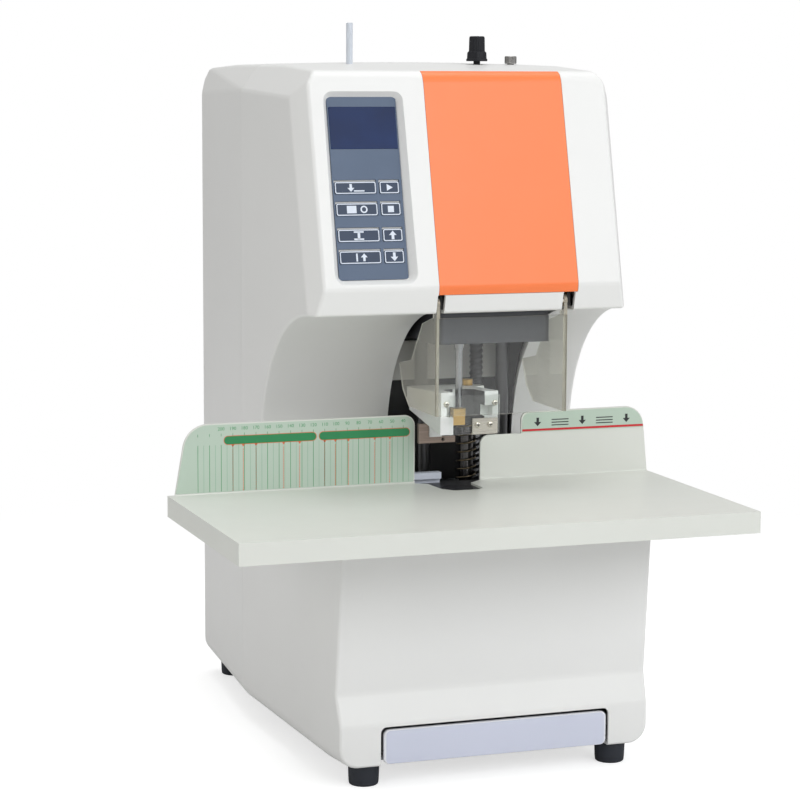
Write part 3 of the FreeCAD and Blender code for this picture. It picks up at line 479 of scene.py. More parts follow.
for column in ("wide", "small"):
    for row in (1, 2, 3, 4):
        name = "key_%s_%d" % (column, row)
        low, high = reach(name)
        left, right = low.x - MIDDLE, high.x - MIDDLE
        bottom = (low.z - CHIN_Z + 1.3) / math.cos(math.radians(LEAN)) + 0.3
        top = bottom + (high.z - low.z) - 0.9
        loops = []
        for depth, inset in ((8.35, 0.0), (7.1, 0.0), (KEY_DEPTH, 0.35)):
            outline = rounded((left + inset, bottom + inset), (right - inset, top - inset), 1.4)
            loops.append([leaning(u, v, depth) for u, v in outline])
        cap = loft(bmesh.new(), loops)
        piece(name + "_cap", cap, key_blue, name + "_cap", [name])
        prints = ring(bmesh.new(), rounded((left + 0.35, bottom + 0.35), (right - 0.35, top - 0.35), 1.5),
                      rounded((left + 1.15, bottom + 1.15), (right - 1.15, top - 1.15), 0.9),
                      KEY_DEPTH - 0.05, KEY_DEPTH + 0.2, leaning)
        key_marks(prints, column, row, ((left + right) / 2, (bottom + top) / 2),
                  KEY_DEPTH - 0.05, KEY_DEPTH + 0.1)
        piece(name + "_print", prints, key_print, name + "_cap")

# Work table: one steel sheet cut and folded into the top, its aprons and the two fences,
# with welded corners, baked in warm white paint. It is screwed onto the base.
table_paint = moulded("table_paint", (219, 221, 214), shade=0.03, patch=6.0, rough=0.34, gloss=0.12,
                      grain=700.0, bump=0.00003)


def reworked(name, radius, pick=None, segments=2):
    """A clean copy of a CAD node's mesh in millimetres with its sharp edges rounded."""
    source = bmesh.new()
    source.from_mesh(nodes[name].data)
    bmesh.ops.scale(source, vec=(1 / MM,) * 3, verts=source.verts)
    bmesh.ops.remove_doubles(source, verts=source.verts, dist=0.002)
    bmesh.ops.dissolve_limit(source, angle_limit=math.radians(0.6), verts=source.verts, edges=source.edges)
    shape = bmesh.new()
    copies = {vert: shape.verts.new(vert.co) for vert in source.verts}
    for item in source.faces:
        shape.faces.new([copies[vert] for vert in item.verts])
    source.free()
    edges = [edge for edge in shape.edges if len(edge.link_faces) == 2
             and edge.calc_face_angle(0) > math.radians(30) and (pick is None or pick(edge))]
    bmesh.ops.bevel(shape, geom=edges, offset=radius, offset_type="OFFSET", segments=segments, profile=0.5,
                    affect="EDGES", clamp_overlap=True)
    return shape


table_low, table_high = reach("work_table")
TABLE_TOP = 227.6


def table_rim(edge):
    """The table's outer folds and corners, seen from above and in front."""
    ends = [vert.co for vert in edge.verts]
    on_top = all(abs(end.z - TABLE_TOP) < 0.1 for end in ends)
    outside = all(end.y < table_low.y + 0.1 or abs(end.x) > table_high.x - 0.1 for end in ends)
    corner = all(end.y < table_low.y + 0.1 and abs(end.x) > table_high.x - 0.1 for end in ends)
    return outside and (on_top or corner)


piece("folded_table", reworked("work_table", 1.9, table_rim, segments=4), table_paint,
      stands_for=["work_table"])

# Printed films on the fences: the left one carries the paper scale with a line for each
# 10 mm from the drill, the right one the line that the stack of papers stays under.
mint_film = moulded("mint_film", (186, 203, 188), shade=0.03, patch=10.0, rough=0.4, gloss=0.1,
                    grain=1800.0, bump=0.00001)


def ink(name, colour, shade=0.06):
    """Printing ink: flat, half matt, without relief."""
    return moulded(name, colour, shade, patch=50.0, rough=0.45, gloss=0.05, grain=1500.0, bump=0.0)


ink_green = ink("ink_green", (58, 152, 92), shade=0.08)
ink_pale = ink("ink_pale", (140, 184, 156), shade=0.05)
ink_deep = ink("ink_deep", (38, 136, 82), shade=0.08)
ink_orange = ink("ink_orange", (226, 112, 70))
ink_red = ink("ink_red", (204, 36, 44))
ink_black = ink("ink_black", (36, 38, 40))
dress(mint_film, "scale_label", "limit_label")
DRILL_X = MIDDLE
INK_BACK = reach("scale_label")[0].y + 0.02
INK_FRONT = INK_BACK - 0.06
LINE_FOOT = TABLE_TOP + 1.6


def upright_line(shape, x, low, high, width):
    prism(shape, [(x - width / 2, low), (x + width / 2, low), (x + width / 2, high), (x - width / 2, high)],
          INK_FRONT, INK_BACK, facing)


tens, fives, dashes = bmesh.new(), bmesh.new(), bmesh.new()
for distance in range(35, 225, 5):
    if distance % 10 == 0:
        upright_line(tens, DRILL_X - distance, LINE_FOOT, 268.4, 0.42)
        upright_line(tens, DRILL_X - distance, 275.5, 277.8, 0.4)
    else:
        upright_line(fives, DRILL_X - distance, LINE_FOOT, 268.4, 0.34)
piece("scale_tens", tens, ink_green)
piece("scale_fives", fives, ink_pale)

BAR_LOW, BAR_HIGH = 268.5, 275.3
bars, rims = bmesh.new(), bmesh.new()
for first, last in ((117.5, 197.5), (34.4, 114.8)):
    corners = (DRILL_X - last, BAR_LOW), (DRILL_X - first, BAR_HIGH)
    prism(bars, rounded(*corners, 3.3), INK_FRONT - 0.02, INK_BACK, facing)
    edge = rounded((corners[0][0] - 0.45, BAR_LOW - 0.45), (corners[1][0] + 0.45, BAR_HIGH + 0.45), 3.75)
    ring(rims, edge, rounded(*corners, 3.3), INK_FRONT, INK_BACK, facing)
piece("scale_bars", bars, ink_deep)
for distance in (190, 181, 170, 146, 132, 110, 100.5, 89, 65.5, 52):
    x = DRILL_X - distance
    prism(rims, [(x - 1.3, BAR_LOW - 0.4), (x + 1.3, BAR_LOW - 0.4), (x, BAR_LOW - 2.6)],
          INK_FRONT, INK_BACK, facing)
    foot = LINE_FOOT
    while foot < BAR_LOW - 3.4:
        upright_line(dashes, x, foot, foot + 1.3, 0.62)
        foot += 2.0
piece("scale_bar_rims", rims, ink_orange)
piece("scale_dashes", dashes, ink_orange)


def number(shape, text, x, z, height):
    """Add a plain number, cut from the standard face, to a shape."""
    letters = bpy.data.curves.new("digits", "FONT")
    letters.body, letters.size, letters.align_x, letters.extrude = text, height * 1.38, "CENTER", 0.03
    letters.resolution_u = 3
    obj = bpy.data.objects.new("digits", letters)
    bpy.context.collection.objects.link(obj)
    mesh = bpy.data.meshes.new_from_object(obj.evaluated_get(bpy.context.evaluated_depsgraph_get()))
    mesh.transform(Matrix.Translation((x, INK_FRONT + 0.03, z)) @ Matrix.Rotation(math.pi / 2, 4, "X"))
    shape.from_mesh(mesh)
    bpy.data.objects.remove(obj)


digits = bmesh.new()
for distance in range(40, 210, 10):
    number(digits, str(distance), DRILL_X - distance, 280.4, 2.9)
piece("scale_numbers", digits, ink_green)

limit_low, limit_high = reach("limit_label")
limit = bmesh.new()
prism(limit, [(limit_low.x, 267.4), (limit_high.x, 267.4), (limit_high.x - 0.2, 269.3),
              (limit_low.x, 269.3)], INK_FRONT, INK_BACK, facing)
piece("limit_line", limit, ink_red)
marks = bmesh.new()
for x in (112, 154, 196):
    prism(marks, arrow((x, 275.2), 7.5, -1), INK_FRONT, INK_BACK, facing)
for z in (272.0, 274.4, 276.8):
    for x in (133, 175):
        prism(marks, bar((x, z), 16, 0.9), INK_FRONT, INK_BACK, facing)
piece("limit_marks", marks, ink_black)

# Throat plate, drilling pad and paper stop: blackened steel round a hard dark disc that the
# drill ends on, and a white moulded bar that the corner of the stack is pushed against.
throat_steel = moulded("throat_steel", (66, 67, 70), shade=0.25, patch=40.0, rough=0.36, gloss=0.2,
                       grain=900.0, bump=0.00003, Metallic=0.35)
pad_plastic = moulded("pad_plastic", (38, 38, 42), shade=0.25, patch=150.0, rough=0.5, gloss=0.2,
                      grain=700.0, bump=0.0001)
stop_white = moulded("stop_white", (206, 212, 224), shade=0.04, patch=60.0, rough=0.4, gloss=0.1,
                     grain=1500.0)


def renewed(name, radius, material, slot, body="root", **options):
    """The copy of a CAD node with rounded edges, finished and riding on its body."""
    return piece(name + "_made", reworked(name, radius, **options), material, body, [name])


renewed("throat_plate", 0.4, throat_steel, "throat_steel")
renewed("cutting_pad", 0.5, pad_plastic, "pad_plastic")
renewed("paper_stop", 0.6, stop_white, "white_plastic")

# Chassis: zinc-plated base plate on four black rubber feet, and the chip drawer, a folded
# tray with a white painted front and a plain pale film on it, which slides out to be emptied.
sheet_metal, given, result = shader_group("Drawn_Metal", [
    ("Colour", "Color", (0.6, 0.6, 0.6, 1)), ("Stroke", "Vector", (40.0, 40.0, 900.0)),
    ("Shade Spread", "Float", 0.2), ("Roughness", "Float", 0.3), ("Gloss Spread", "Float", 0.2),
], SOCKETS_OUT)
where = add(sheet_metal, "TexCoord").outputs["Object"]
stroke = add(sheet_metal, "VectorMath", {0: where, 1: given["Stroke"]}, operation="MULTIPLY")
lines = add(sheet_metal, "TexNoise", {"Vector": stroke.outputs[0], "Scale": 1.0, "Detail": 4.0})
lines = lines.outputs["Fac"]
shade_and_gloss(sheet_metal, given, result, lines, lines)
sheet_metal.links.new(lines, result["Height"])


def drawn(name, colour, stroke, shade, rough, gloss, bump=0.00002, **shader):
    """A metal with fine marks that run along its working direction."""
    return finish(name, sheet_metal, {
        "Colour": srgb(*colour), "Stroke": stroke, "Shade Spread": shade, "Roughness": rough,
        "Gloss Spread": gloss}, bump, **shader)


ROUND_STROKE, FLAT_STROKE = (60.0, 60.0, 2500.0), (30.0, 1200.0, 1200.0)
foot_rubber = moulded("foot_rubber", (34, 38, 47), shade=0.3, patch=90.0, rough=0.68, gloss=0.15,
                      grain=1300.0, bump=0.00015)
drawer_white = moulded("drawer_white", (232, 233, 238), shade=0.02, patch=12.0, rough=0.35, gloss=0.1,
                       grain=900.0)
drawer_film = moulded("drawer_film", (207, 211, 227), shade=0.03, patch=9.0, rough=0.34, gloss=0.04,
                      grain=1800.0, bump=0.00001)
zinc_plate = drawn("zinc_plate", (176, 178, 182), FLAT_STROKE, shade=0.25, rough=0.4, gloss=0.25,
                   Metallic=1.0)
renewed("base_plate", 0.6, zinc_plate, "zinc_plate")


def turned(shape, profile, centre, steps=40, ripple=None):
    """Add a solid turned about an upright axis; ripple changes its radius."""
    loops = []
    for radius, height in profile:
        loop = []
        for step in range(steps):
            angle = 2 * math.pi * step / steps
            real = radius + (ripple(angle, radius, height) if ripple else 0.0)
            loop.append(Vector((centre[0] + real * math.cos(angle),
                                centre[1] + real * math.sin(angle), height)))
        loops.append(loop)
    return loft(shape, loops)


for end in ("front", "rear"):
    for side in ("left", "right"):
        name = "foot_%s_%s" % (end, side)
        low, high = reach(name)
        foot = turned(bmesh.new(), [
            (6.0, 0), (11.2, 0), (12.1, 0.8), (12.4, 3.5), (12.85, 14.6), (12.7, 16.4),
            (11.6, 17.3), (6.0, 17.3)], plan_middle(low, high))
        piece(name + "_rubber", foot, foot_rubber, stands_for=[name])

tray_low, tray_high = reach("chip_drawer")
drawer = bmesh.new()
rim = [(tray_low.y + 3.0, 0.0), (tray_low.y + 0.9, 0.0), (tray_low.y + 0.25, 0.35), (tray_low.y, 1.0)]
loft(drawer, [[facing(u, v, depth) for u, v in rounded(
    (tray_low.x + side, tray_low.z + side), (tray_high.x - side, tray_high.z - side), 5.0 - side)]
              for depth, side in rim])
tray = [(MIDDLE - 94, 24.2), (MIDDLE + 94, 24.2), (MIDDLE + 94, 45), (MIDDLE + 92, 45), (MIDDLE + 92, 26.2),
        (MIDDLE - 92, 26.2), (MIDDLE - 92, 45), (MIDDLE - 94, 45)]
prism(drawer, tray, tray_low.y + 2.8, tray_high.y, facing)
prism(drawer, [(MIDDLE - 92.2, 26), (MIDDLE + 92.2, 26), (MIDDLE + 92.2, 45), (MIDDLE - 92.2, 45)],
      tray_high.y - 2, tray_high.y, facing)
piece("chip_tray", drawer, drawer_white, "drawer", ["chip_drawer"])
label_low, label_high = reach("drawer_label")
film = rounded((label_low.x - 1.6, label_low.z - 1.8), (label_high.x + 1.6, label_high.z + 1.6), 3.6)
film = prism(bmesh.new(), film, label_low.y, label_high.y, facing)
piece("drawer_film", film, drawer_film, "drawer", ["drawer_label"])

# Frame: zinc-plated upright with its head bracket, cast lower arm under the throat, two
# ground guide columns, and the lift screw that the lift motor turns.
cast_grey = moulded("cast_grey", (120, 122, 124), shade=0.25, patch=30.0, rough=0.55, gloss=0.2,
                    grain=500.0, bump=0.0002, Metallic=0.6)
polished_steel = drawn("polished_steel", (160, 161, 165), ROUND_STROKE, shade=0.15, rough=0.2,
                       gloss=0.1, bump=0.000004, Metallic=1.0)
# Painted shade: the guide columns and lift screw get a darker copy of the round steel, standing in for the
# shade inside the throat.
shade_darkened_steel = drawn("shade_darkened_steel", (92, 92, 94), ROUND_STROKE, shade=0.2, rough=0.34, gloss=0.1,
                    bump=0.000004, Metallic=1.0)
motor_black = moulded("motor_black", (44, 45, 48), shade=0.2, patch=60.0, rough=0.42, gloss=0.15,
                      grain=900.0, bump=0.00005)
renewed("frame_plate", 0.5, zinc_plate, "zinc_plate")
renewed("base_arm", 1.0, cast_grey, "cast_grey")
# Painted shade: the guide columns take the darkened steel.
dress(shade_darkened_steel, "guide_columns")
renewed("lift_motor", 1.0, motor_black, "motor_steel")
screw_low, screw_high = reach("lead_screw")
LEAD = 10.0


def thread(angle, radius, height):
    """Flanks of a two-start screw thread."""
    along = (2 * (height / LEAD - angle / (2 * math.pi))) % 1.0
    return -0.9 * max(0.0, min(1.0, 4 * abs(along - 0.5) - 0.5)) if radius > 5 else 0.0


levels = int((screw_high.z - screw_low.z) / 0.5)
screw = [(5.98, screw_low.z + (screw_high.z - screw_low.z) * level / levels) for level in range(levels + 1)]
screw_centre = plan_middle(screw_low, screw_high)
# Painted shade: the lift screw takes the darkened steel too.
piece("lift_screw_thread", turned(bmesh.new(), screw, screw_centre, 24, thread), shade_darkened_steel, "lift_screw",
      ["lead_screw"], sharp=50)

# Carriage: blackened steel slide with the drill motor, its belt and pulleys, the bored
# spindle with the hollow drill, and the brass punch beside it.
dark_steel = drawn("dark_steel", (92, 93, 97), FLAT_STROKE, shade=0.3, rough=0.42, gloss=0.2,
                   bump=0.00001, Metallic=0.8)
brass = drawn("brass", (204, 168, 102), ROUND_STROKE, shade=0.2, rough=0.3, gloss=0.15, bump=0.00001,
              Metallic=1.0)
belt_rubber = moulded("belt_rubber", (30, 30, 32), shade=0.2, patch=90.0, rough=0.7, gloss=0.1,
                      grain=900.0, bump=0.0001)
renewed("carriage", 0.8, dark_steel, "dark_steel", "carriage")
renewed("rivet_punch", 0.6, brass, "brass", "carriage")
renewed("drill_motor", 1.2, motor_black, "motor_steel", "carriage")
renewed("motor_pulley", 0.4, polished_steel, "polished_steel", "motor_drive")
dress(belt_rubber, "drive_belt")
renewed("spindle", 0.4, polished_steel, "dark_steel", "drill_spindle")
dress(polished_steel, "hollow_drill")

# Presser: white forked casting that holds the stack down, bored to slide on a dark post
# over a return spring, with a clear chip shield, a brass tube block and a nickel bracket.
foot_white = moulded("foot_white", (226, 227, 226), shade=0.05, patch=35.0, rough=0.38, gloss=0.12,
                     grain=600.0, bump=0.00008)
nickel = drawn("nickel", (206, 202, 190), FLAT_STROKE, shade=0.15, rough=0.28, gloss=0.15,
               bump=0.00001, Metallic=1.0)
rolled_steel = drawn("rolled_steel", (158, 142, 132), FLAT_STROKE, shade=0.3, rough=0.38, gloss=0.2,
                     Metallic=1.0)
spring_steel = drawn("spring_steel", (128, 116, 96), ROUND_STROKE, shade=0.3, rough=0.3, gloss=0.2,
                     bump=0.000004, Metallic=1.0)
post_steel = drawn("post_steel", (96, 94, 94), ROUND_STROKE, shade=0.2, rough=0.2, gloss=0.1,
                   bump=0.000004, Metallic=1.0)
# Painted shade: the screw slots are not cut; flat dark crosses set into the screw heads stand in for the
# shade in the slots.
screw_slot_shade = moulded("screw_slot_shade", (40, 39, 37), shade=0.1, patch=90.0, rough=0.6, gloss=0.1,
                    grain=900.0, bump=0.0)


def clear_sheet(name, colour, roughness, clarity=1.0):
    """Clear acrylic: refracts what is behind it, and lets light through to what it covers."""
    material = bpy.data.materials.new(name)
    material.use_nodes = True
    tree = material.node_tree
    principled = tree.nodes["Principled BSDF"]
    effect = add(tree, "Group", node_tree=skin)
    for label, value in {"Colour": colour, "Shade Spread": 0.02, "Patch Scale": 20.0,
                         "Roughness": roughness, "Gloss Spread": 0.03, "Grain Scale": 300.0}.items():
        effect.inputs[label].default_value = value
    tree.links.new(effect.outputs["Colour"], principled.inputs["Base Color"])
    tree.links.new(effect.outputs["Roughness"], principled.inputs["Roughness"])
    principled.inputs["Transmission Weight"].default_value = clarity
    principled.inputs["IOR"].default_value = 1.49
    through = add(tree, "BsdfTransparent", {"Color": colour})
    shadow = add(tree, "LightPath").outputs["Is Shadow Ray"]
    mix = add(tree, "MixShader", {0: shadow, 1: principled.outputs[0], 2: through.outputs[0]})
    tree.links.new(mix.outputs[0], tree.nodes["Material Output"].inputs["Surface"])
    return material


clear_acrylic = clear_sheet("clear_acrylic", srgb(246, 248, 246), 0.02)
# Painted shade: a dark grey for the faces inside the gap between the prongs, where shade falls in the fork.
foot_gap_shade = moulded("foot_gap_shade", (92, 92, 92), shade=0.25, patch=60.0, rough=0.5, gloss=0.15,
                    grain=900.0, bump=0.00008, Metallic=0.3)
fork = reworked("presser_foot", 1.0, segments=3)
# Painted shade: faces inside the gap between the prongs take the dark grey material.
for item in fork.faces:
    centre = item.calc_center_median()
    between = -13.2 < centre.x - MIDDLE < 15.2 and centre.y < -58
    item.material_index = 1 if between and abs(item.normal.z) < 0.5 and item.normal.y > -0.999 else 0
piece("presser_fork", fork, [foot_white, foot_gap_shade], "presser", ["presser_foot"])
dress(clear_acrylic, "presser_shield")
renewed("tube_block", 0.5, brass, "brass", "presser")
renewed("foot_bracket", 0.35, nickel, "nickel", "presser")
renewed("link_bar", 0.3, rolled_steel, "link_steel", "presser")
heads, crosses = bmesh.new(), bmesh.new()
FOOT_LOW = 275.0
for x, back, climb in ((-19.3, -95, 26.2), (23.5, -96.5, 26.2), (8, -98, 8), (19.2, -98, 8)):
    centre = (MIDDLE + x, FOOT_LOW + climb)
    loft(heads, [[facing(u, v, back - depth) for u, v in arc(centre, radius, 0, 345, 23)]
                 for depth, radius in ((-0.1, 2.5), (0.7, 2.55), (1.3, 2.2), (1.65, 1.4), (1.75, 0.6))])
    for width, height in ((2.9, 0.55), (0.55, 2.9)):
        prism(crosses, bar(centre, width, height), back - 1.79, back - 1.2, facing)
piece("presser_screw_heads", heads, nickel, "presser", ["presser_screws"])
# Painted shade: dark crosses for the shade in the screw slots.
piece("presser_screw_slots", crosses, screw_slot_shade, "presser")
dress(post_steel, "spring_post")
renewed("post_cap", 0.8, brass, "brass")

spring_low, spring_high = reach("return_spring")
WIRE, TURNS = 0.75, 8
COIL = (spring_high.x - spring_low.x) / 2 - WIRE
post_centre = Vector((*plan_middle(*reach("spring_post")), 0))
spring_rise = spring_high.z - spring_low.z - 2 * WIRE


def tube_along(shape, points, radius):
    """Add a round wire through points, its ends closed."""
    loops = []
    for index, point in enumerate(points):
        way = (points[min(index + 1, len(points) - 1)] - points[max(index - 1, 0)]).normalized()
        across = way.cross(Vector((0, 0, 1))).normalized()
        over = across.cross(way)
        loops.append([point + (across * math.cos(turn) + over * math.sin(turn)) * radius
                      for turn in (2 * math.pi * side / 8 for side in range(8))])
    return loft(shape, loops)


coil = []
for step in range(TURNS * 32 + 1):
    angle = 2 * math.pi * step / 32
    height = spring_low.z + WIRE + spring_rise * step / (TURNS * 32)
    coil.append(post_centre + Vector((COIL * math.cos(angle), COIL * math.sin(angle), height)))
spring = piece("presser_spring", tube_along(bmesh.new(), coil, WIRE), spring_steel, "root",
               ["return_spring"], sharp=80)
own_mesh(spring)

# Liner and back sheet: black painted sheets that close the sides and back of the throat,
# and the grey sheet across its back behind the drill.
liner_black = moulded("liner_black", (26, 26, 28), shade=0.2, patch=30.0, rough=0.5, gloss=0.15,
                      grain=900.0, bump=0.00005)
sheet_grey = moulded("sheet_grey", (222, 221, 216), shade=0.08, patch=20.0, rough=0.45, gloss=0.1,
                     grain=900.0, bump=0.00003)
renewed("inner_liner", 0.2, liner_black, "liner_black")
renewed("back_sheet", 0.2, sheet_grey, "grey_paint")

# Guard: three clear acrylic sheets glued at their edges, hung on a pin in each slot of the
# head. The sawn and polished edges gather light and look beige against the clear faces.
acrylic_edge = moulded("acrylic_edge", (190, 184, 168), shade=0.15, patch=60.0, rough=0.25, gloss=0.1,
                       grain=900.0, Transmission_Weight=0.35)
acrylic_rim = moulded("acrylic_rim", (240, 240, 234), shade=0.1, patch=60.0, rough=0.3, gloss=0.1,
                      grain=900.0, Transmission_Weight=0.15)
# Painted reflection: the cheeks' broad faces get a paler, less clear acrylic, a milky look that stands in
# for the white they mirror.
cheek_sheen_acrylic = clear_sheet("cheek_sheen_acrylic", srgb(238, 236, 228), 0.03, 0.9)
guard_low, guard_high = reach("guard_shield")
PIVOT_Y, PIVOT_Z, SHEET = -101.0, 386.0, 3.0
PIN_HOLE = 2.1


def mark_edges(shape):
    """Give the sheets' narrow faces, and the cheeks' broad faces with their milky painted reflection, their
    own materials.
    """
    for item in shape.faces:
        if len(item.verts) == 4 and min(edge.calc_length() for edge in item.edges) < SHEET + 0.01:
            item.material_index = 2 if item.calc_center_median().y > guard_low.y + SHEET + 1 else 1
        elif len(item.verts) > 10:
            item.material_index = 3


guard = bmesh.new()
front_edge = guard_low.y + SHEET
prism(guard, [(guard_low.x, guard_low.z), (guard_high.x, guard_low.z), (guard_high.x, 374),
              (guard_low.x, 374)], guard_low.y, front_edge - 0.02, facing)
cheek = [(front_edge, guard_low.z), (front_edge, 374), (guard_low.y + 0.3, 374), (guard_low.y + 0.3, 382)]
cheek += arc((PIVOT_Y, PIVOT_Z), 5, 210, -30, 16)
cheek += [(-97, 382), (-97, 374), (-71, 367), (-43.6, 333), (-12.8, 327), (-22.5, 305.5),
          (-38.2, guard_low.z)]
for left in (guard_low.x, guard_high.x - SHEET):
    prism(guard, cheek, left, left + SHEET, sideways)
mark_edges(guard)
bore = prism(bmesh.new(), arc((PIVOT_Y, PIVOT_Z), PIN_HOLE, 0, 337.5, 15),
             guard_low.x - 2, guard_high.x + 2, sideways)
guard = carve(guard, bore)
piece("guard_sheets", guard, [clear_acrylic, acrylic_edge, acrylic_rim, cheek_sheen_acrylic],
      "guard", ["guard_shield"])

hinge_black = moulded("hinge_black", (30, 29, 28), shade=0.2, patch=90.0, rough=0.45, gloss=0.1,
                      grain=1200.0, bump=0.00005)
hinges = reworked("guard_hinges", 0.3)
for item in hinges.faces:
    centre = item.calc_center_median()
    if math.hypot(centre.y - PIVOT_Y, centre.z - PIVOT_Z) < 2.2:
        item.material_index = 1
piece("hinge_blocks", hinges, [hinge_black, brass], stands_for=["guard_hinges"])

# Controls on top of the head: a black moulded setting knob on its potentiometer, a knurled
# nickel cap, and the white nylon tube that the machine cuts its rivets from.
knob_black = moulded("knob_black", (26, 27, 32), shade=0.15, patch=70.0, rough=0.5, gloss=0.15,
                     grain=1500.0, bump=0.00003, Specular_IOR_Level=0.25)
milky_nylon = moulded("milky_nylon", (226, 232, 240), shade=0.04, patch=40.0, rough=0.35, gloss=0.1,
                      grain=800.0, Transmission_Weight=0.25)
knob_centre = plan_middle(*reach("setting_knob"))


def flutes(angle, radius, height):
    """Grip flutes on the body of the knob."""
    return -0.35 * max(0.0, math.cos(18 * angle)) if 591 < height < 605 and radius > 6 else 0.0


knob = turned(bmesh.new(), [
    (2.98, 566), (2.98, 585), (5.0, 584.9), (9.0, 584.6), (9.38, 585), (9.3, 586.4), (8.7, 586.9),
    (8.5, 591.6), (8.1, 592.6), (7.6, 592.9), (7.1, 593.4), (6.85, 604.6), (6.5, 606), (5.6, 606.4),
    (2.0, 606.48)],
    knob_centre, 108, flutes)
piece("knob_body", knob, knob_black, "depth_knob", ["setting_knob"])
pointer = prism(bmesh.new(), bar((knob_centre[0], knob_centre[1] - 4.2), 0.9, 4.6), 606.2, 606.5)
piece("knob_pointer", pointer, key_print, "depth_knob")
renewed("knob_potentiometer", 0.5, motor_black, "black_plastic")


def knurl(angle, radius, height):
    """Fine straight knurling on the rim of the cap."""
    return -0.22 * max(0.0, math.cos(30 * angle)) if 583.2 < height < 588.4 and radius > 5 else 0.0


cap = turned(bmesh.new(), [
    (2.98, 566), (2.98, 582.4), (5.0, 582.5), (5.3, 583), (5.28, 583.4), (5.28, 588.2), (5.1, 588.8),
    (4.5, 589.18), (1.0, 589.2)], plan_middle(*reach("adjusting_cap")), 180, knurl)
cap_nickel = drawn("cap_nickel", (150, 148, 146), ROUND_STROKE, shade=0.15, rough=0.3, gloss=0.1,
                   bump=0.0, Metallic=1.0)
piece("knurled_cap", cap, cap_nickel, "cap", ["adjusting_cap"])
renewed("nylon_tube", 0.25, milky_nylon, "nylon", "tube_stock")

# Electrics: mains inlet with three pins and a rocker switch in the rear cover, and the
# power supply and main board inside, which are bought units.
renewed("mains_inlet", 0.4, hinge_black, "black_plastic")
rocker = reworked("power_switch", 0.6)
piece("rocker_key", rocker, knob_black, "rocker", ["power_switch"])
switch_low, switch_high = reach("power_switch")
signs = bmesh.new()
on_mark = bar(((switch_low.x + switch_high.x) / 2, 101.6), 0.9, 3.4)
prism(signs, on_mark, switch_high.y - 3.4, switch_high.y - 3.25, facing)
piece("switch_on_mark", signs, key_print, "rocker")
renewed("power_supply", 0.8, zinc_plate, "zinc_plate")

# Studio: pale floor, white surroundings and soft lamps, with the camera where the
# photograph was taken from. None of it belongs to the machine.
floor_mesh = bpy.data.meshes.new("floor")
FLOOR_HALF = 40.0
corners = [(x * FLOOR_HALF, y * FLOOR_HALF, 0) for x, y in ((-1, -1), (1, -1), (1, 1), (-1, 1))]
floor_mesh.from_pydata(corners, [], [(0, 1, 2, 3)])
floor = bpy.data.objects.new("floor", floor_mesh)
bpy.context.collection.objects.link(floor)


def seen_directly(tree):
    """1 where the camera looks at the background, straight or through a clear sheet."""
    path = add(tree, "LightPath")
    return add(tree, "Math", {0: path.outputs["Is Camera Ray"], 1: path.outputs["Is Transmission Ray"]},
               operation="MAXIMUM").outputs[0]


floor_paper = bpy.data.materials.new("floor_paper")
floor_paper.use_nodes = True
tree = floor_paper.node_tree
lit = tree.nodes["Principled BSDF"]
lit.inputs["Roughness"].default_value = 0.9
lit.inputs["Specular IOR Level"].default_value = 0.1
tone = add(tree, "TexNoise", {"Vector": add(tree, "TexCoord").outputs["Object"], "Scale": 3.0})
pale = add(tree, "MapRange", {"Value": tone.outputs["Fac"], "To Min": 0.76, "To Max": 0.8}).outputs[0]
tree.links.new(pale, lit.inputs["Base Color"])
GLOW, SHADE = 0.62, 0.62
away = add(tree, "VectorMath", {0: add(tree, "TexCoord").outputs["Object"]}, operation="LENGTH")
far = add(tree, "MapRange", {"Value": away.outputs["Value"], "From Min": 0.35, "From Max": 1.2},
          interpolation_type="SMOOTHSTEP")
glow_here = add(tree, "MapRange", {"Value": far.outputs[0], "To Min": GLOW, "To Max": 1.0}).outputs[0]
shade_here = add(tree, "MapRange", {"Value": far.outputs[0], "To Min": SHADE, "To Max": 0.0}).outputs[0]
glow = add(tree, "Emission", {"Color": (1, 1, 1, 1), "Strength": glow_here})
shaded = add(tree, "BsdfDiffuse", {"Color": shade_here})
bright = add(tree, "AddShader", {0: glow.outputs[0], 1: shaded.outputs[0]})
mix = add(tree, "MixShader", {0: seen_directly(tree), 1: lit.outputs[0], 2: bright.outputs[0]})
tree.links.new(mix.outputs[0], tree.nodes["Material Output"].inputs["Surface"])
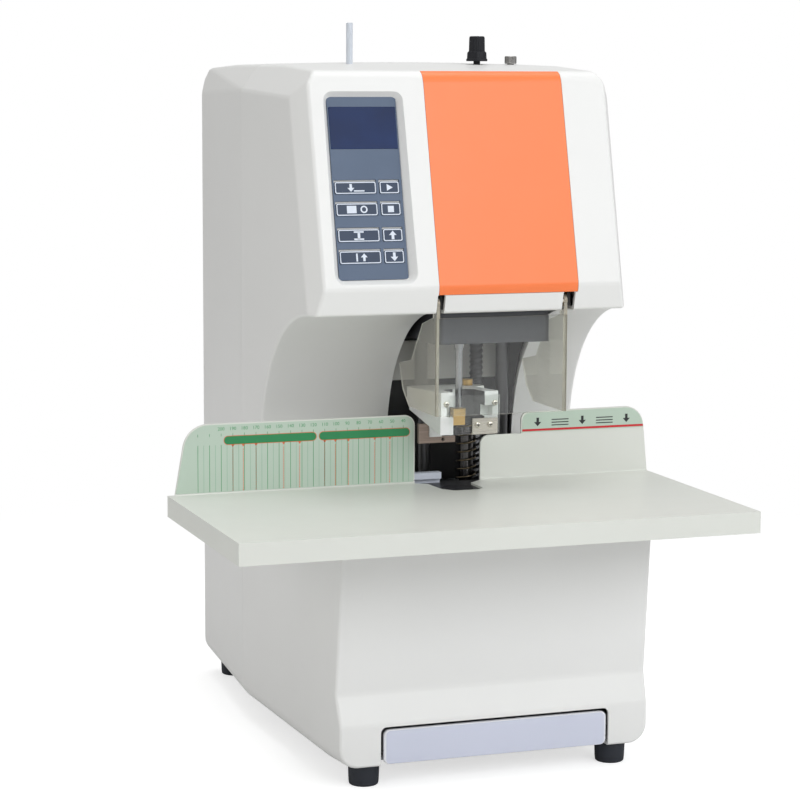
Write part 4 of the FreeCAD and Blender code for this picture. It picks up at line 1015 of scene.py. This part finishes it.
floor_mesh.materials.append(floor_paper)

SKY = 0.48
world = bpy.data.worlds.new("studio")
bpy.context.scene.world = world
world.use_nodes = True
tree = world.node_tree
tree.nodes.clear()
around = add(tree, "Background", {"Color": (1, 1, 1, 1), "Strength": SKY})
white = add(tree, "Background", {"Color": (1, 1, 1, 1), "Strength": 1.0})
mix = add(tree, "MixShader", {0: seen_directly(tree), 1: around.outputs[0], 2: white.outputs[0]})
tree.links.new(mix.outputs[0], add(tree, "OutputWorld").inputs["Surface"])


def lamp(name, place, width, watts, colour):
    """A square soft lamp that looks at the middle of the machine."""
    data = bpy.data.lights.new(name, "AREA")
    data.shape, data.size, data.energy, data.color = "SQUARE", width, watts, colour
    obj = bpy.data.objects.new(name, data)
    bpy.context.collection.objects.link(obj)
    obj.location = place
    obj.rotation_euler = (Vector((0, 0, 0.3)) - Vector(place)).to_track_quat("-Z", "Y").to_euler()
    obj.visible_camera = False
    return obj


lamp("key_lamp", (0.5, -2.9, 1.85), 1.6, 34, (0.965, 0.98, 1.0))
lamp("fill_lamp", (2.3, -1.9, 1.8), 1.6, 21, (0.965, 0.98, 1.0))
lamp("top_lamp", (0.1, 0.2, 2.6), 1.8, 24, (0.98, 0.99, 1.0))
lamp("side_lamp", (-2.6, -0.8, 1.0), 1.4, 8.5, (1.0, 0.985, 0.94))

camera_data = bpy.data.cameras.new("camera")
camera = bpy.data.objects.new("camera", camera_data)
bpy.context.collection.objects.link(camera)
camera_data.sensor_width = 36.0
camera_data.lens = 111.795
camera.location = (-0.709131, -2.015954, 0.581834)
YAW, PITCH, ROLL = 19.434, 7.701, 0.265
turn = Matrix.Rotation(math.radians(-YAW), 3, "Z") @ Matrix.Rotation(math.radians(90 - PITCH), 3, "X")
turn = turn @ Matrix.Rotation(math.radians(ROLL), 3, "Z")
camera.rotation_euler = turn.to_euler()
camera_data.clip_start, camera_data.clip_end = 0.05, 200.0
bpy.context.scene.camera = camera
bpy.context.scene.view_settings.view_transform = "Standard"
